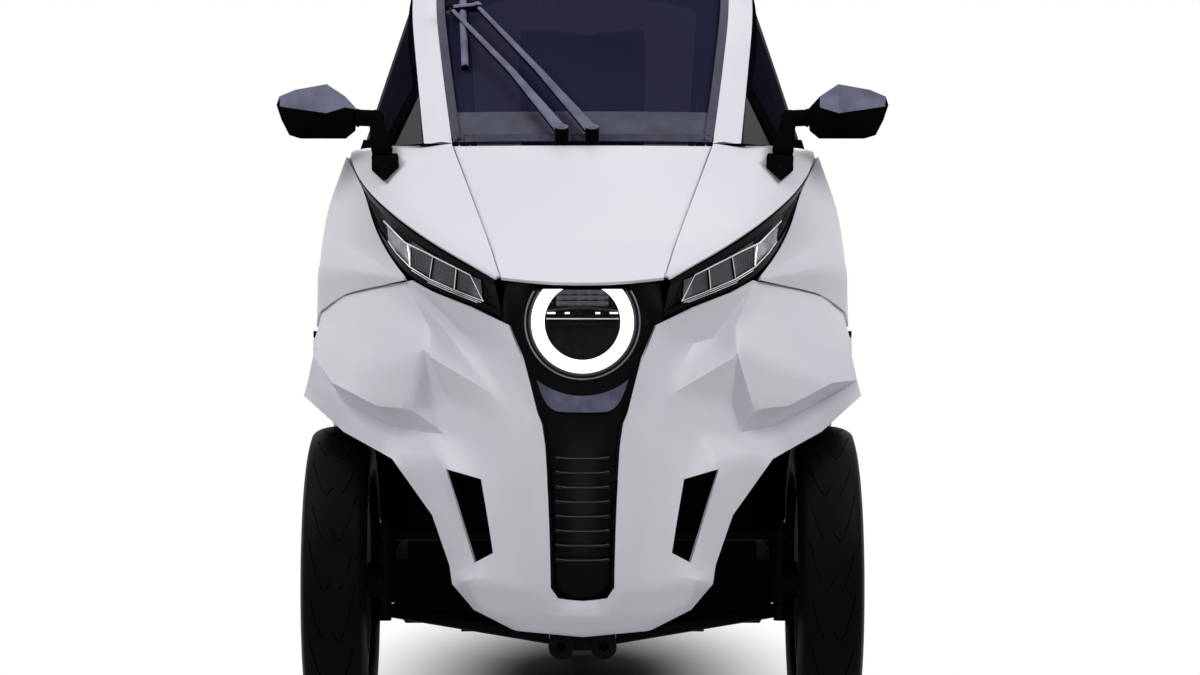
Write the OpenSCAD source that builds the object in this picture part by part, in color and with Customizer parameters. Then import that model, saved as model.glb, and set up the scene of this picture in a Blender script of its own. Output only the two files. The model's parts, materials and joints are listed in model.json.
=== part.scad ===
// Narrow tandem two-seat car with two steered front wheels and one rear wheel.
// Millimetres, +Z up, front towards -Y, origin on the ground below the middle of the car.

/* [Wheels] */
// Outer diameter of the tyres
tyre_d = 550; // [520:2:556]
// Width of the tyres
tyre_w = 112; // [104:2:116]
// Height of a tyre's sidewall, from the rim to the tread
tyre_side = 97; // [80:1:110]
// Distance between the middles of the front tyres
track = 854; // [844:2:858]
// Front axle, measured from the middle of the car
front_axle_y = -845; // [-855:1:-835]
// Rear axle, measured from the middle of the car
rear_axle_y = 955; // [940:1:960]
// Radius of the wheel axles
axle_r = 12; // [10:0.5:15]
// Number of spokes in a rim
spoke_count = 5; // [3:1:8]
// Radius of the brake discs
disc_r = 112; // [90:2:120]
// Running clearance between a shaft and its bore
running_gap = 0.08; // [0.05:0.01:0.1]

/* [Suspension] */
// Distance from the kingpin inwards to the middle of the tyre
scrub = 75; // [70:1:80]
// Radius of the kingpin
kingpin_r = 13; // [10:0.5:16]
// Lower ball joint below the axle
lower_joint_drop = 52; // [45:1:58]
// Upper joint above the axle
upper_joint_rise = 83; // [75:1:95]
// Radius of the suspension links
link_r = 11; // [8:0.5:14]
// Height of the lower inner pivots
lower_pivot_z = 182; // [178:1:190]
// Spacing of the lower inner pivots
lower_pivot_gap = 72; // [64:2:80]
// Largest steering angle to each side
steer_max = 28; // [20:1:30]
// Room between a steered tyre and the body behind it
arch_gap = 14; // [8:1:20]
// Radius of the lashing eye sockets
lash_r = 8; // [5:0.5:10]
// Depth of the lashing eye sockets
lash_depth = 40; // [30:1:60]

/* [Panels] */
// Wall of the front body panels
panel_wall = 6; // [4:0.5:9]
// Thickness of a door and of the rear quarters
door_wall = 42; // [36:1:48]
// Thickness of the roof
roof_wall = 34; // [28:1:40]
// Thickness of the window frames at the top of the doors
frame_wall = 20; // [18:1:22]
// Thickness of the roof rail's lip over the doors
rail_lip = 4; // [3:0.5:6]
// Thickness of the window glass
glass_wall = 5; // [4:0.5:6]
// Seam between panels that are fixed together
seam = 0.5; // [0.4:0.1:0.8]
// Gap all round a closed door
door_gap = 8; // [7:0.5:10]
// Front edge of the doors
door_front_y = -634; // [-638:1:-628]
// Rear edge of the doors
door_rear_y = 380; // [360:2:400]
// Height of the door window's front and rear frame members
frame_bar = 44; // [36:1:52]

/* [Lamps] */
// Height of the round headlamp's middle
lamp_z = 733; // [730:1:736]
// Radius of the headlamp's bezel
lamp_r = 99; // [94:1:100]
// Outer radius of the light ring
ring_r = 86; // [82:1:89]
// Width of the light ring
ring_w = 22; // [16:1:26]
// Number of grille slats in the nose
slat_count = 8; // [4:1:10]
// Thickness of one grille slat
slat_t = 5; // [3:0.5:7]

/* [Cabin] */
// Height of the floor
floor_z = 205; // [200:1:215]
// Thickness of the floor
floor_wall = 30; // [24:1:34]
// Diameter of the steering wheel
wheel_d = 330; // [300:5:350]
// Lean of the steering column from level
column_lean = 28; // [22:1:34]
// Width of the driver's seat
seat_w = 420; // [380:5:450]
// Width of the passenger's seat
rear_seat_w = 380; // [340:5:400]

/* [Hidden] */
$fn = 48;

white = "#e3e3ea";
black = "#15151a";
dark = "#26262c";
steel = "#8a8c92";
smoke = [0.18, 0.18, 0.26, 0.6];
rubber = "#1a1a1c";
cloth = "#3a3b46";

// Places that follow from the sizes above
axle_z = tyre_d / 2;
wheel_x = track / 2;
kingpin_x = wheel_x - scrub;
rim_r = tyre_d / 2 - tyre_side;
tyre_r = tyre_d / 2;

// Stations along the car, from the cowl at the windscreen's foot to the end of the roof rails
cowl_y = -795;
bulkhead_y = -646;
screen_top_y = -150;
rail_rear_y = 1090;
roof_rear_y = rail_rear_y - 440;
// Rearmost reach of a steered front tyre at height z
function tyre_reach(z) =
    let (rise = abs(z - axle_z))
    rise >= tyre_r ? -tyre_r
    : (tyre_w / 2 + scrub) * sin(steer_max) + sqrt(tyre_r * tyre_r - rise * rise) * cos(steer_max);
arch_y = front_axle_y + tyre_reach(axle_z) + arch_gap;
arch_top_z = tyre_d + 6;
firewall_y = bulkhead_y - 2;
firewall_t = 20;
// Pivot of the rear swing arm
swing_pivot_y = 604;
swing_pivot_z = 330;
swing_tube_r = 22;
// Width between the front wheel arches, and the subframe's tower and pivot sleeves
core_w = 440;
tower_w = 150;
lower_sleeve_r = 22;
// Shares of the half-width at which panels across the car have their points
across = [-1, -0.66, -0.33, 0, 0.33, 0.66, 1];

// Value of a table's column at y, on a smooth curve through its rows
function slope(rows, col, i) =
    let (p = rows[max(i - 1, 0)], q = rows[min(i + 1, len(rows) - 1)])
    (q[col] - p[col]) / (q[0] - p[0]);
function at(rows, col, y) =
    let (
        hits = [for (i = [0:len(rows) - 2]) if (y >= rows[i][0]) i],
        i = len(hits) == 0 ? 0 : hits[len(hits) - 1],
        a = rows[i],
        b = rows[i + 1],
        span = b[0] - a[0],
        t = (y - a[0]) / span,
        s = 1 - t
    )
    a[col] * s * s * (1 + 2 * t) + b[col] * t * t * (1 + 2 * s)
    + span * t * s * (s * slope(rows, col, i) - t * slope(rows, col, i + 1));

// Point at t on the Bezier curve of the given control points
function bezier(p, t) =
    len(p) == 1 ? p[0] : bezier([for (i = [0:len(p) - 2]) p[i] + (p[i + 1] - p[i]) * t], t);
function steps(a, b, n) = [for (i = [0:n]) a + (b - a) * i / n];
function mix(a, b, t) = a + (b - a) * t;
function flipped(grid) = [for (row = grid) [for (j = [len(row) - 1:-1:0]) row[j]]];
function shifted(grid, move) = [for (row = grid) [for (p = row) p + move]];

// Outward direction at one point of a grid of surface points
function grid_normal(grid, i, j) =
    let (
        along = grid[min(i + 1, len(grid) - 1)][j] - grid[max(i - 1, 0)][j],
        across = grid[i][min(j + 1, len(grid[0]) - 1)] - grid[i][max(j - 1, 0)],
        n = cross(along, across)
    )
    n / norm(n);
function inset(grid, wall) =
    [for (i = [0:len(grid) - 1]) [for (j = [0:len(grid[0]) - 1]) grid[i][j] - wall * grid_normal(grid, i, j)]];

// True where a cell lies outside the grid or in one of its holes [first row, end row, first column, end column]
function is_open(i, j, rows, cols, holes) =
    i < 0 || j < 0 || i >= rows || j >= cols
    || len([for (h = holes) if (i >= h[0] && i < h[1] && j >= h[2] && j < h[3]) 1]) > 0;

// Closed wall between an outer and an inner grid of surface points
module skin(outer, inner, holes = []) {
    rows = len(outer) - 1;
    cols = len(outer[0]) - 1;
    width = cols + 1;
    back = (rows + 1) * width;
    cells = [for (i = [0:rows - 1]) for (j = [0:cols - 1]) if (!is_open(i, j, rows, cols, holes)) [i, j]];
    sheets = [
        for (c = cells)
            let (a = c[0] * width + c[1], b = a + width, d = a + 1, e = b + 1)
            each [[a, d, e], [a, e, b], [a + back, b + back, e + back], [a + back, e + back, d + back]]
    ];
    rims = [
        for (c = cells)
            let (a = c[0] * width + c[1], b = a + width, d = a + 1, e = b + 1)
            for (edge = [[a, d, -1, 0], [d, e, 0, 1], [e, b, 1, 0], [b, a, 0, -1]])
                if (is_open(c[0] + edge[2], c[1] + edge[3], rows, cols, holes))
                    each [
                        [edge[1], edge[0], edge[0] + back],
                        [edge[1], edge[0] + back, edge[1] + back]
                    ]
    ];
    polyhedron(
        points = concat([for (row = outer) each row], [for (row = inner) each row]),
        faces = concat(sheets, rims)
    );
}

// Children on the left and mirrored on the right
module both_sides() {
    children();
    mirror([1, 0, 0])
        children();
}

// Round bar from p to q
module bar(p, q, r) {
    d = q - p;
    translate(p)
        rotate([0, acos(d.z / norm(d)), atan2(d.y, d.x)])
            cylinder(h = norm(d), r = r);
}

// Cylinder along X, with its middle at the origin
module cross_cylinder(h, r) {
    rotate([0, 90, 0])
        cylinder(h = h, r = r, center = true);
}

// Outline turned about the X axis: points are [radius, place along X]
module turned(outline) {
    rotate([0, 90, 0])
        rotate_extrude($fn = 96)
            polygon(outline);
}

// Children moved to the front left wheel, the front right wheel or the rear wheel
module at_wheel(x, y) {
    translate([x, y, axle_z])
        children();
}

module tyre() {
    bead = 42 * tyre_w / 112;
    half = tyre_w / 2;
    shoulder = [tyre_r - 14, half - 7];
    wall_curve = [[rim_r, bead], [rim_r + 14, half + 5], [tyre_r - 42, half + 3], shoulder];
    crown_curve = [shoulder, [tyre_r - 3, half - 16], [tyre_r, half / 3], [tyre_r, 0]];
    half_outline = concat(
        [for (t = steps(0, 1, 6)) bezier(wall_curve, t)],
        [for (t = steps(0.2, 1, 4)) bezier(crown_curve, t)]
    );
    other_half = [for (i = [len(half_outline) - 2:-1:0]) [half_outline[i][0], -half_outline[i][1]]];
    color(rubber)
        turned(concat(half_outline, other_half));
}

// Cast rim with its hub and brake disc; side is 1 where the spokes face +X
module rim(side, axle) {
    bead = 42 * tyre_w / 112;
    seat = rim_r - seam;
    hub_r = axle + 24;
    spoke_t = 20;
    face_x = side * (bead - 18);
    disc_x = -side * 34;
    color(steel)
        difference() {
            union() {
                turned([
                    [seat, -bead], [seat, bead], [seat - 12, bead], [seat - 16, bead - 10],
                    [seat - 24, bead - 26], [seat - 24, 26 - bead], [seat - 16, 10 - bead], [seat - 12, -bead]
                ]);
                cross_cylinder(2 * bead, hub_r);
                translate([disc_x, 0, 0])
                    cross_cylinder(5, disc_r);
                for (i = [0:spoke_count - 1])
                    rotate([360 * i / spoke_count, 0, 0])
                        translate([face_x - spoke_t / 2, 0, 0])
                            rotate([90, 0, 90])
                                linear_extrude(spoke_t)
                                    polygon([
                                        [-20, hub_r - 8], [20, hub_r - 8], [13, seat - 40], [17, seat - 14],
                                        [-17, seat - 14], [-13, seat - 40]
                                    ]);
            }
            cross_cylinder(4 * bead, axle + running_gap);
        }
}

// Upright of a front wheel, drawn for the left side
module knuckle(side) {
    inner = -scrub;
    post_top = upper_joint_rise + 20;
    post_foot = lower_joint_drop + 18;
    color(dark)
        at_wheel(side * wheel_x, front_axle_y)
            mirror([side < 0 ? 1 : 0, 0, 0]) {
                translate([inner, 0, -post_foot])
                    cylinder(h = post_foot + post_top, r = kingpin_r);
                translate([inner, 0, 14 - lower_joint_drop])
                    cylinder(h = lower_joint_drop + upper_joint_rise - 28, r = kingpin_r + 8);
                translate([(inner - 46) / 2, 0, 0])
                    cross_cylinder(-46 - inner, 34);
                translate([inner / 2 + 22, 0, 0])
                    cross_cylinder(44 - inner, axle_r);
                translate([inner - 12, 20, -18])
                    cube([18, 62, 12]);
            }
}

// Ring that holds the kingpin, standing on its lower face
module kingpin_eye(h) {
    cylinder(h = h, r = kingpin_r + 9);
}

// Upper and lower links of one side
module side_arms(side) {
    eye = 22;
    pin = [side * kingpin_x, front_axle_y, 0];
    lower = pin + [0, 0, axle_z - lower_joint_drop];
    upper = pin + [0, 0, axle_z + upper_joint_rise];
    pivot = [side * lower_pivot_gap / 2, front_axle_y, lower_pivot_z];
    tower = [side * (tower_w / 2 + seam), front_axle_y, upper.z];
    spread = 95;
    difference() {
        union() {
            translate(lower - [0, 0, eye / 2])
                kingpin_eye(eye);
            for (y = [-spread, spread]) {
                foot = pivot + [side * (lower_sleeve_r + seam), y, 0];
                bar(foot, lower, link_r);
            }
        }
        translate([pin.x, pin.y, 0])
            cylinder(h = 2 * axle_z, r = kingpin_r + running_gap);
        translate([0, front_axle_y, lower_pivot_z])
            cube([lower_pivot_gap + 2 * (lower_sleeve_r + seam), 400, 4 * lower_sleeve_r], center = true);
    }
    difference() {
        union() {
            translate(upper - [0, 0, eye / 2])
                kingpin_eye(eye);
            for (y = [-40, 40])
                bar(tower + [0, y, 0], upper, link_r);
        }
        translate([pin.x, pin.y, 0])
            cylinder(h = 3 * axle_z, r = kingpin_r + running_gap);
        translate([0, front_axle_y, upper.z])
            cube([tower_w + 2 * seam, 400, 120], center = true);
    }
}

module suspension_arms() {
    color(black)
        for (side = [-1, 1])
            side_arms(side);
}

// Sunk pivot sleeves, tower for the upper links and bosses for lashing eyes
subframe_front_y = -1120;
subframe_rear_y = firewall_y - firewall_t - seam;
module front_subframe() {
    tower_l = 130;
    rail_h = 52;
    color(black)
        difference() {
            union() {
                for (side = [-1, 1])
                    translate([side * lower_pivot_gap / 2, subframe_front_y, lower_pivot_z])
                        rotate([-90, 0, 0])
                            cylinder(h = subframe_rear_y - subframe_front_y, r = lower_sleeve_r);
                translate([-lower_pivot_gap / 2, subframe_front_y + 20, lower_pivot_z - 8])
                    cube([lower_pivot_gap, subframe_rear_y - subframe_front_y - 20, rail_h]);
                translate([-tower_w / 2, front_axle_y - tower_l / 2, lower_pivot_z + 30])
                    cube([tower_w, tower_l, axle_z + upper_joint_rise + 45 - lower_pivot_z - 30]);
                translate([-core_w / 2, subframe_rear_y - 40, lower_pivot_z - 8])
                    cube([core_w, 40, rail_h]);
            }
            for (side = [-1, 1])
                translate([side * lower_pivot_gap / 2, subframe_front_y - 1, lower_pivot_z])
                    rotate([-90, 0, 0])
                        cylinder(h = lash_depth + 1, r = lash_r);
        }
}

// Body sections by y: half-widths and heights of the sill, the waist, the belt and the glass foot
side_rows = [
    // y, sill_x, sill_z, waist_x, waist_z, belt_x, belt_z, glass_x
    [-660, 392, 300, 480, 724, 422, 1043, 352],
    [-480, 398, 300, 484, 722, 433, 1048, 408],
    [-250, 402, 300, 484, 720, 440, 1052, 438],
    [100, 402, 304, 478, 720, 442, 1056, 440],
    [400, 388, 322, 462, 726, 428, 1060, 426],
    [700, 350, 430, 426, 764, 390, 1062, 388],
    [980, 305, 570, 372, 815, 336, 1054, 334],
    [1150, 268, 640, 318, 850, 290, 1038, 288]
];
// Roof rail by y: height and half-widths of its edges, drop of its outer edge, rise and bow of the middle
rail_rows = [
    // y, z, inner_x, outer_x, drop, crown, bow
    [-795, 1052, 233, 283, 3, 0, -34],
    [-600, 1199, 258, 304, 8, 8, -30],
    [-385, 1349, 279, 324, 12, 18, -24],
    [-150, 1462, 274, 320, 18, 38, -16],
    [120, 1508, 264, 310, 22, 62, 0],
    [400, 1500, 260, 304, 22, 60, 0],
    [650, 1450, 254, 297, 22, 50, 6],
    [880, 1322, 247, 288, 20, 34, 16],
    [1090, 1098, 240, 279, 16, 20, 24]
];

function sill_point(y) = [at(side_rows, 1, y), y, at(side_rows, 2, y)];
function waist_point(y) = [at(side_rows, 3, y), y, at(side_rows, 4, y)];
function belt_point(y) = [at(side_rows, 5, y), y, at(side_rows, 6, y)];
function glass_point(y) = [at(side_rows, 7, y), y, at(side_rows, 6, y) + 6];
function rail_inner(y) = [at(rail_rows, 2, y), y, at(rail_rows, 1, y)];
function rail_outer(y) = [at(rail_rows, 3, y), y, at(rail_rows, 1, y) - at(rail_rows, 4, y)];

// Direction square to the roof line at y, into the cabin
function rail_inward(y) =
    let (rise = (at(rail_rows, 1, y + 1) - at(rail_rows, 1, y - 1)) / 2)
    [0, rise, -1] / norm([rise, 1]);

// Point below the rail's outer edge, a clearance away square to the roof line
function below_rail(y, gap) =
    let (in = rail_inward(y))
    rail_outer(y) + [0, 0, gap / in.z];

// Body side at y: t runs from 0 at the sill to 1 at the belt
function side_point(y, t) =
    let (a = sill_point(y), b = belt_point(y), c = 2 * waist_point(y) - (a + b) / 2)
    bezier([a, c, b], t);
// Window plane at y: t runs from 0 at the glass foot to 1 below the roof rail
function window_point(y, t) =
    let (a = glass_point(y), b = below_rail(y, rail_lip + door_gap))
    mix(a, b, t) + [10 * t * (1 - t), 0, 0];
// Point between the two roof rails: q runs from -1 on the right to 1 on the left
function screen_point(y, q, edge) =
    let (p = rail_inner(y), rise = 1 - q * q)
    [q * (p.x - edge), y + rise * at(rail_rows, 6, y), p.z + rise * at(rail_rows, 5, y)];

screen_rows = 8;
roof_rows = 8;
window_rows = 6;
module screen_panel(y0, y1, n, wall) {
    stations = steps(y0, y1, n);
    grid = [for (y = stations) [for (q = across) screen_point(y, q, seam)]];
    inner = [for (i = [0:n]) [for (p = grid[i]) p + wall * rail_inward(stations[i])]];
    skin(flipped(grid), flipped(inner));
}

module windscreen() {
    color(smoke)
        screen_panel(cowl_y + 4, screen_top_y - seam, screen_rows, glass_wall);
}

module roof_panel() {
    color(white)
        screen_panel(screen_top_y, roof_rear_y, roof_rows, roof_wall);
}

module rear_window() {
    color(smoke)
        screen_panel(roof_rear_y + seam, rail_rear_y, window_rows, glass_wall);
}

// Windscreen pillar that runs on as the roof rail to the tail, left side
module pillar() {
    stations = concat(
        steps(cowl_y + 4, screen_top_y - seam, screen_rows),
        steps(screen_top_y, roof_rear_y, roof_rows),
        steps(roof_rear_y + seam, rail_rear_y, window_rows)
    );
    shares = [0, 0.3, 0.4, 1];
    walls = [roof_wall, roof_wall, 2 * rail_lip, rail_lip];
    grid = [
        for (y = stations)
            let (a = rail_inner(y), b = rail_outer(y))
            [for (f = shares) mix(a, b, f) + 16 * f * (1 - f) * [0.3, 0, 1]]
    ];
    inner = [
        for (i = [0:len(stations) - 1])
            [for (j = [0:3]) grid[i][j] + walls[j] * rail_inward(stations[i])]
    ];
    color(white)
        skin(flipped(grid), flipped(inner));
}

module pillar_left() { pillar(); }
module pillar_right() { mirror([1, 0, 0]) pillar(); }

// Door hinge, left side: lugs and pin on the firewall, and the door's eye between them
hinge_at = [488, -640];
hinge_z = 680;
hinge_h = 54;
hinge_r = 5;
pin_r = 3;
lug_h = 12;
module on_hinge(z) {
    translate([hinge_at.x, hinge_at.y, z])
        children();
}
module hinge_lugs() {
    reach = 34;
    for (z = [hinge_z - hinge_h / 2 - lug_h, hinge_z + hinge_h / 2])
        on_hinge(z) {
            cylinder(h = lug_h, r = hinge_r, $fn = 32);
            translate([-reach, -hinge_r - 1, 0])
                cube([reach, hinge_r + 1, lug_h]);
            translate([-reach, -hinge_r - 8, 0])
                cube([14, hinge_r + 8, lug_h]);
        }
    on_hinge(hinge_z - hinge_h / 2 - lug_h)
        cylinder(h = hinge_h + 2 * lug_h, r = pin_r, $fn = 32);
}
module hinge_eye() {
    on_hinge(hinge_z - hinge_h / 2 + seam) {
        cylinder(h = hinge_h - 2 * seam, r = hinge_r, $fn = 32);
        translate([-hinge_r - 9, 0, 0])
            cube([14, door_front_y - hinge_at.y + 4, hinge_h - 2 * seam]);
    }
}
module hinge_bore() {
    on_hinge(hinge_z - hinge_h)
        cylinder(h = 2 * hinge_h, r = pin_r + running_gap, $fn = 32);
}

// Firewall between the front wheels and the cabin
module bulkhead() {
    inner = panel_wall + 4;
    outline = [for (t = steps(0.42, 1, 5)) side_point(firewall_y, t)];
    half = concat(
        [[core_w / 2, floor_z], [core_w / 2, arch_top_z + 14], [outline[0].x - 60, arch_top_z + 40]],
        [for (p = outline) [p.x - inner, p.z - inner]],
        [[300, 1038]]
    );
    mirrored = [for (i = [len(half) - 1:-1:0]) [-half[i][0], half[i][1]]];
    color(black)
        translate([0, firewall_y, 0])
            rotate([90, 0, 0])
                linear_extrude(firewall_t)
                    polygon(concat(half, mirrored));
    color(black)
        both_sides()
            hinge_lugs();
}

// Floor with its side sills, narrow between the wheel arches
floor_front_y = firewall_y + seam;
floor_rear_y = 560;
floor_half = 385;
sill_top = 292;
sill_w = 60;
module floor_tub() {
    ear_x = 62;
    ear_w = 18;
    tuck = 55;
    section = [
        [-floor_half, sill_top], [-floor_half, sill_top - 30], [tuck - floor_half, floor_z - floor_wall],
        [floor_half - tuck, floor_z - floor_wall], [floor_half, sill_top - 30], [floor_half, sill_top]
    ];
    ear = [
        [floor_rear_y - 10, floor_z], [floor_rear_y - 10, sill_top], [swing_pivot_y - 20, swing_pivot_z + 36],
        [swing_pivot_y + 30, swing_pivot_z + 30], [swing_pivot_y + 34, swing_pivot_z - 30],
        [floor_rear_y, floor_z]
    ];
    color(black)
        difference() {
            union() {
                translate([0, floor_rear_y, 0])
                    rotate([90, 0, 0])
                        linear_extrude(floor_rear_y - floor_front_y)
                            polygon(section);
                both_sides()
                    translate([ear_x, 0, 0])
                        rotate([90, 0, 90])
                            linear_extrude(ear_w)
                                polygon(ear);
            }
            translate([0, swing_pivot_y, swing_pivot_z])
                cross_cylinder(4 * ear_x, swing_tube_r + running_gap);
            translate([sill_w - floor_half, arch_y + 20, floor_z])
                cube([2 * (floor_half - sill_w), floor_rear_y - arch_y - 40, 400]);
            translate([-floor_half, floor_front_y - 1, floor_z])
                cube([2 * floor_half, arch_y + 21 - floor_front_y, 400]);
            both_sides()
                translate([core_w / 2, floor_front_y - 1, 0])
                    cube([floor_half, arch_y + 1 - floor_front_y, 400]);
        }
}

// Inner walls of the front wheel arches, standing on the floor
module arch_liners() {
    wall = 16;
    liner_half = floor_half - sill_w;
    low_z = floor_z + seam;
    high_z = arch_top_z + 14;
    color(black)
        both_sides() {
            translate([core_w / 2 - wall, firewall_y + seam, low_z])
                cube([wall, arch_y + wall - firewall_y - seam, high_z - low_z]);
            translate([core_w / 2 - wall, arch_y, low_z])
                cube([liner_half - core_w / 2 + wall, wall, high_z - low_z]);
            translate([core_w / 2 - wall, firewall_y + seam, high_z - wall])
                cube([liner_half - core_w / 2 + wall, arch_y + wall - firewall_y - seam, wall]);
        }
}

module battery_block() {
    color(dark)
        translate([-190, -60, floor_z + seam])
            cube([380, 420, 190]);
}

// Line between bonnet and shoulder panel, from the nose to the cowl
bonnet_nose = [137, -1195, 808];
bonnet_cowl = [232, -801, 1049];
// Lower lip of the shoulder panel, from the nose to the door
lip = [
    [142, -1189, 806], [190, -1145, 829], [245, -1083, 860], [300, -1004, 897], [339, -930, 928],
    [375, -846, 960], [400, -778, 992], [414, -714, 1022], [421, bulkhead_y, 1041]
];
// Upper edge of bumper and wing below the side lamp, from the nose to the lamp's tail
brow = [
    [124, -1182, 728], [190, -1143, 757], [258, -1085, 782], [298, -1035, 804], [333, -958, 840],
    [360, -856, 880], [376, -802, 920], [388, -752, 966]
];
// Corner of the split line between wing and bumper
wing_corner = [360, -950, 797];
// Bumper from its split line with the wing down to the middle of the chin, left half
bumper_rows = [
    // band edge, three of the inner plane, strip's two sides and middle, cheek, side, flare tip, tail
    [brow[0], brow[1], brow[2], brow[3], mix(brow[3], wing_corner, 0.17), mix(brow[3], wing_corner, 0.35),
        mix(brow[3], wing_corner, 0.6), wing_corner, [420, -870, 785], [466, -790, 752], [480, -652, 724]],
    [[103, -1203, 673], [144, -1160, 686], [184, -1122, 696], [223, -1092, 706], [261, -1085, 723],
        [273, -1075, 727], [289, -1062, 728], [341, -1020, 729], [416, -925, 734], [472, -830, 720],
        [483, -652, 700]],
    [[78, -1218, 582], [105, -1205, 596], [130, -1185, 605], [156, -1172, 615], [256, -1120, 672],
        [263, -1112, 681], [270, -1104, 687], [334, -1062, 655], [426, -965, 682], [476, -870, 694],
        [484, -652, 680]],
    [[69, -1222, 563], [94, -1216, 562], [120, -1200, 567], [147, -1180, 575], [225, -1112, 597],
        [255, -1092, 594], [292, -1098, 585], [351, -1052, 593], [431, -985, 633], [474, -900, 674],
        [484, -652, 660]],
    [[63, -1226, 526], [89, -1222, 522], [113, -1212, 522], [133, -1196, 525], [201, -1138, 547],
        [234, -1112, 543], [270, -1100, 543], [341, -1028, 548], [426, -960, 591], [482, -915, 632],
        [482, -656, 630]],
    [[59, -1229, 469], [86, -1227, 468], [108, -1220, 466], [125, -1208, 465], [171, -1180, 469],
        [231, -1150, 485], [247, -1128, 497], [327, -1060, 499], [415, -1000, 545], [487, -945, 605],
        [474, -668, 602]],
    [[56, -1230, 411], [83, -1229, 409], [103, -1224, 407], [118, -1214, 405], [160, -1196, 408],
        [207, -1165, 406], [217, -1150, 402], [256, -1112, 405]],
    [[54, -1228, 344], [79, -1227, 342], [99, -1223, 340], [115, -1215, 338], [150, -1203, 346],
        [182, -1180, 328], [191, -1170, 315], [226, -1128, 321]],
    [[53, -1222, 289], [71, -1222, 285], [91, -1220, 285], [113, -1216, 288], [143, -1208, 294],
        [172, -1196, 300], [194, -1180, 299], [221, -1134, 289]],
    [[41, -1216, 271], [56, -1216, 258], [71, -1212, 248], [91, -1206, 241], [118, -1196, 236],
        [144, -1184, 239], [168, -1168, 244], [184, -1140, 246]],
    [[24, -1211, 268], [34, -1212, 253], [46, -1210, 239], [59, -1204, 229], [78, -1194, 220],
        [95, -1180, 213], [110, -1162, 212], [119, -1140, 213]],
    [[0, -1208, 266], [0, -1212, 253], [0, -1211, 239], [0, -1205, 227], [0, -1195, 216], [0, -1180, 207],
        [0, -1160, 201], [0, -1140, 200]]
];
vent_rows = [5, 7];
vent_col = 4;
// Last row of the flare over the wheel
flare_row = 5;
leg_col = 7;
// Rows of the leg and the chin are filled up with points below the flare, where the panel is open
tail_col = 10;
function bumper_row(i) =
    let (row = bumper_rows[i], n = len(row))
    concat(row, [for (j = [n:1:tail_col]) bumper_rows[flare_row][j] - [0, 0, 20 * (i - flare_row)]]);

function mirrored_row(row) = [for (p = row) [-p.x, p.y, p.z]];
last_row = len(bumper_rows) - 1;
bumper_grid = concat(
    [for (i = [0:last_row]) bumper_row(i)],
    [for (i = [last_row - 1:-1:0]) mirrored_row(bumper_row(i))]
);
bumper_inner = inset(bumper_grid, panel_wall);

module front_bumper() {
    holes = [
        [vent_rows[0], vent_rows[1], vent_col, vent_col + 1],
        [2 * last_row - vent_rows[1], 2 * last_row - vent_rows[0], vent_col, vent_col + 1],
        [flare_row, 2 * last_row - flare_row, leg_col, tail_col]
    ];
    color(white)
        skin(bumper_grid, bumper_inner, holes);
}

// Black nose behind the bumper's edges, with its slats
nose_rows = 9;
nose_top = [130, -1172, 798];
function nose_row(i) =
    let (
        behind = mix(bumper_inner[i][0], bumper_inner[i][1], 0.25) + [0, 8 * seam, 0],
        edge = bumper_rows[i][0] + [-5, 18, 0],
        middle = [0, edge.y - 8, edge.z]
    )
    [behind, edge, mix(edge, middle, 0.5) + [0, -3, 0], middle];
function full_row(half) =
    concat(half, [for (j = [len(half) - 2:-1:0]) [-half[j].x, half[j].y, half[j].z]]);
nose_grid = concat(
    [full_row([nose_top, nose_top + [-20, 4, 0], nose_top + [-65, -6, 0], [0, nose_top.y - 8, nose_top.z]])],
    [for (i = [0:nose_rows]) full_row(nose_row(i))]
);
slat_top_z = 503;
slat_pitch = 24.3;
slat_y = -1227;
slat_depth = 16;
module nose_panel() {
    slat_half = 46;
    color(black)
        difference() {
            union() {
                skin(flipped(nose_grid), flipped(shifted(nose_grid, [0, panel_wall, 0])));
                for (i = [0:slat_count - 1])
                    translate([-slat_half, slat_y, slat_top_z - i * slat_pitch])
                        cube([2 * slat_half, slat_depth, slat_t]);
            }
            translate([0, 0, lamp_z])
                rotate([90, 0, 0])
                    cylinder(h = 2000, r = lamp_r + seam);
        }
}

// Round headlamp, cut off level below the bonnet's edge
lamp_face_y = -1202;
lamp_cut_z = 788;
lamp_depth = 60;
module lamp_disc(r, y0, y1) {
    translate([0, y1, lamp_z])
        rotate([90, 0, 0])
            cylinder(h = y1 - y0, r = r, $fn = 96);
}
module lamp_top_cut() {
    translate([-2 * lamp_r, lamp_face_y - 50, lamp_cut_z])
        cube([4 * lamp_r, 200, 2 * lamp_r]);
}
module headlamp_housing() {
    color(black)
        difference() {
            lamp_disc(lamp_r, lamp_face_y, lamp_face_y + lamp_depth);
            lamp_disc(ring_r + seam, lamp_face_y - 1, lamp_face_y + 24);
            lamp_top_cut();
        }
}
module headlamp_ring() {
    color([0.95, 0.97, 1])
        difference() {
            lamp_disc(ring_r, lamp_face_y - 6, lamp_face_y + 24 - seam);
            lamp_disc(ring_r - ring_w, lamp_face_y - 7, lamp_face_y + 30);
            lamp_top_cut();
        }
}
module headlamp_lens() {
    color(smoke)
        difference() {
            lamp_disc(ring_r - ring_w - seam, lamp_face_y + 4, lamp_face_y + 24 - seam);
            lamp_top_cut();
        }
}

// Side lamp: a trough between the brow and the lip, with its lens
lamp_top = [for (i = [0:7]) i < 7 ? lip[i] + [0, 4, -4] : [404, -756, 1000]];
lamp_bottom = [for (p = brow) p + [0, 2, 8]];
lamp_columns = [0, 0.16, 0.2, 0.8, 0.84, 1];
lamp_trough = 12;
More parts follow.
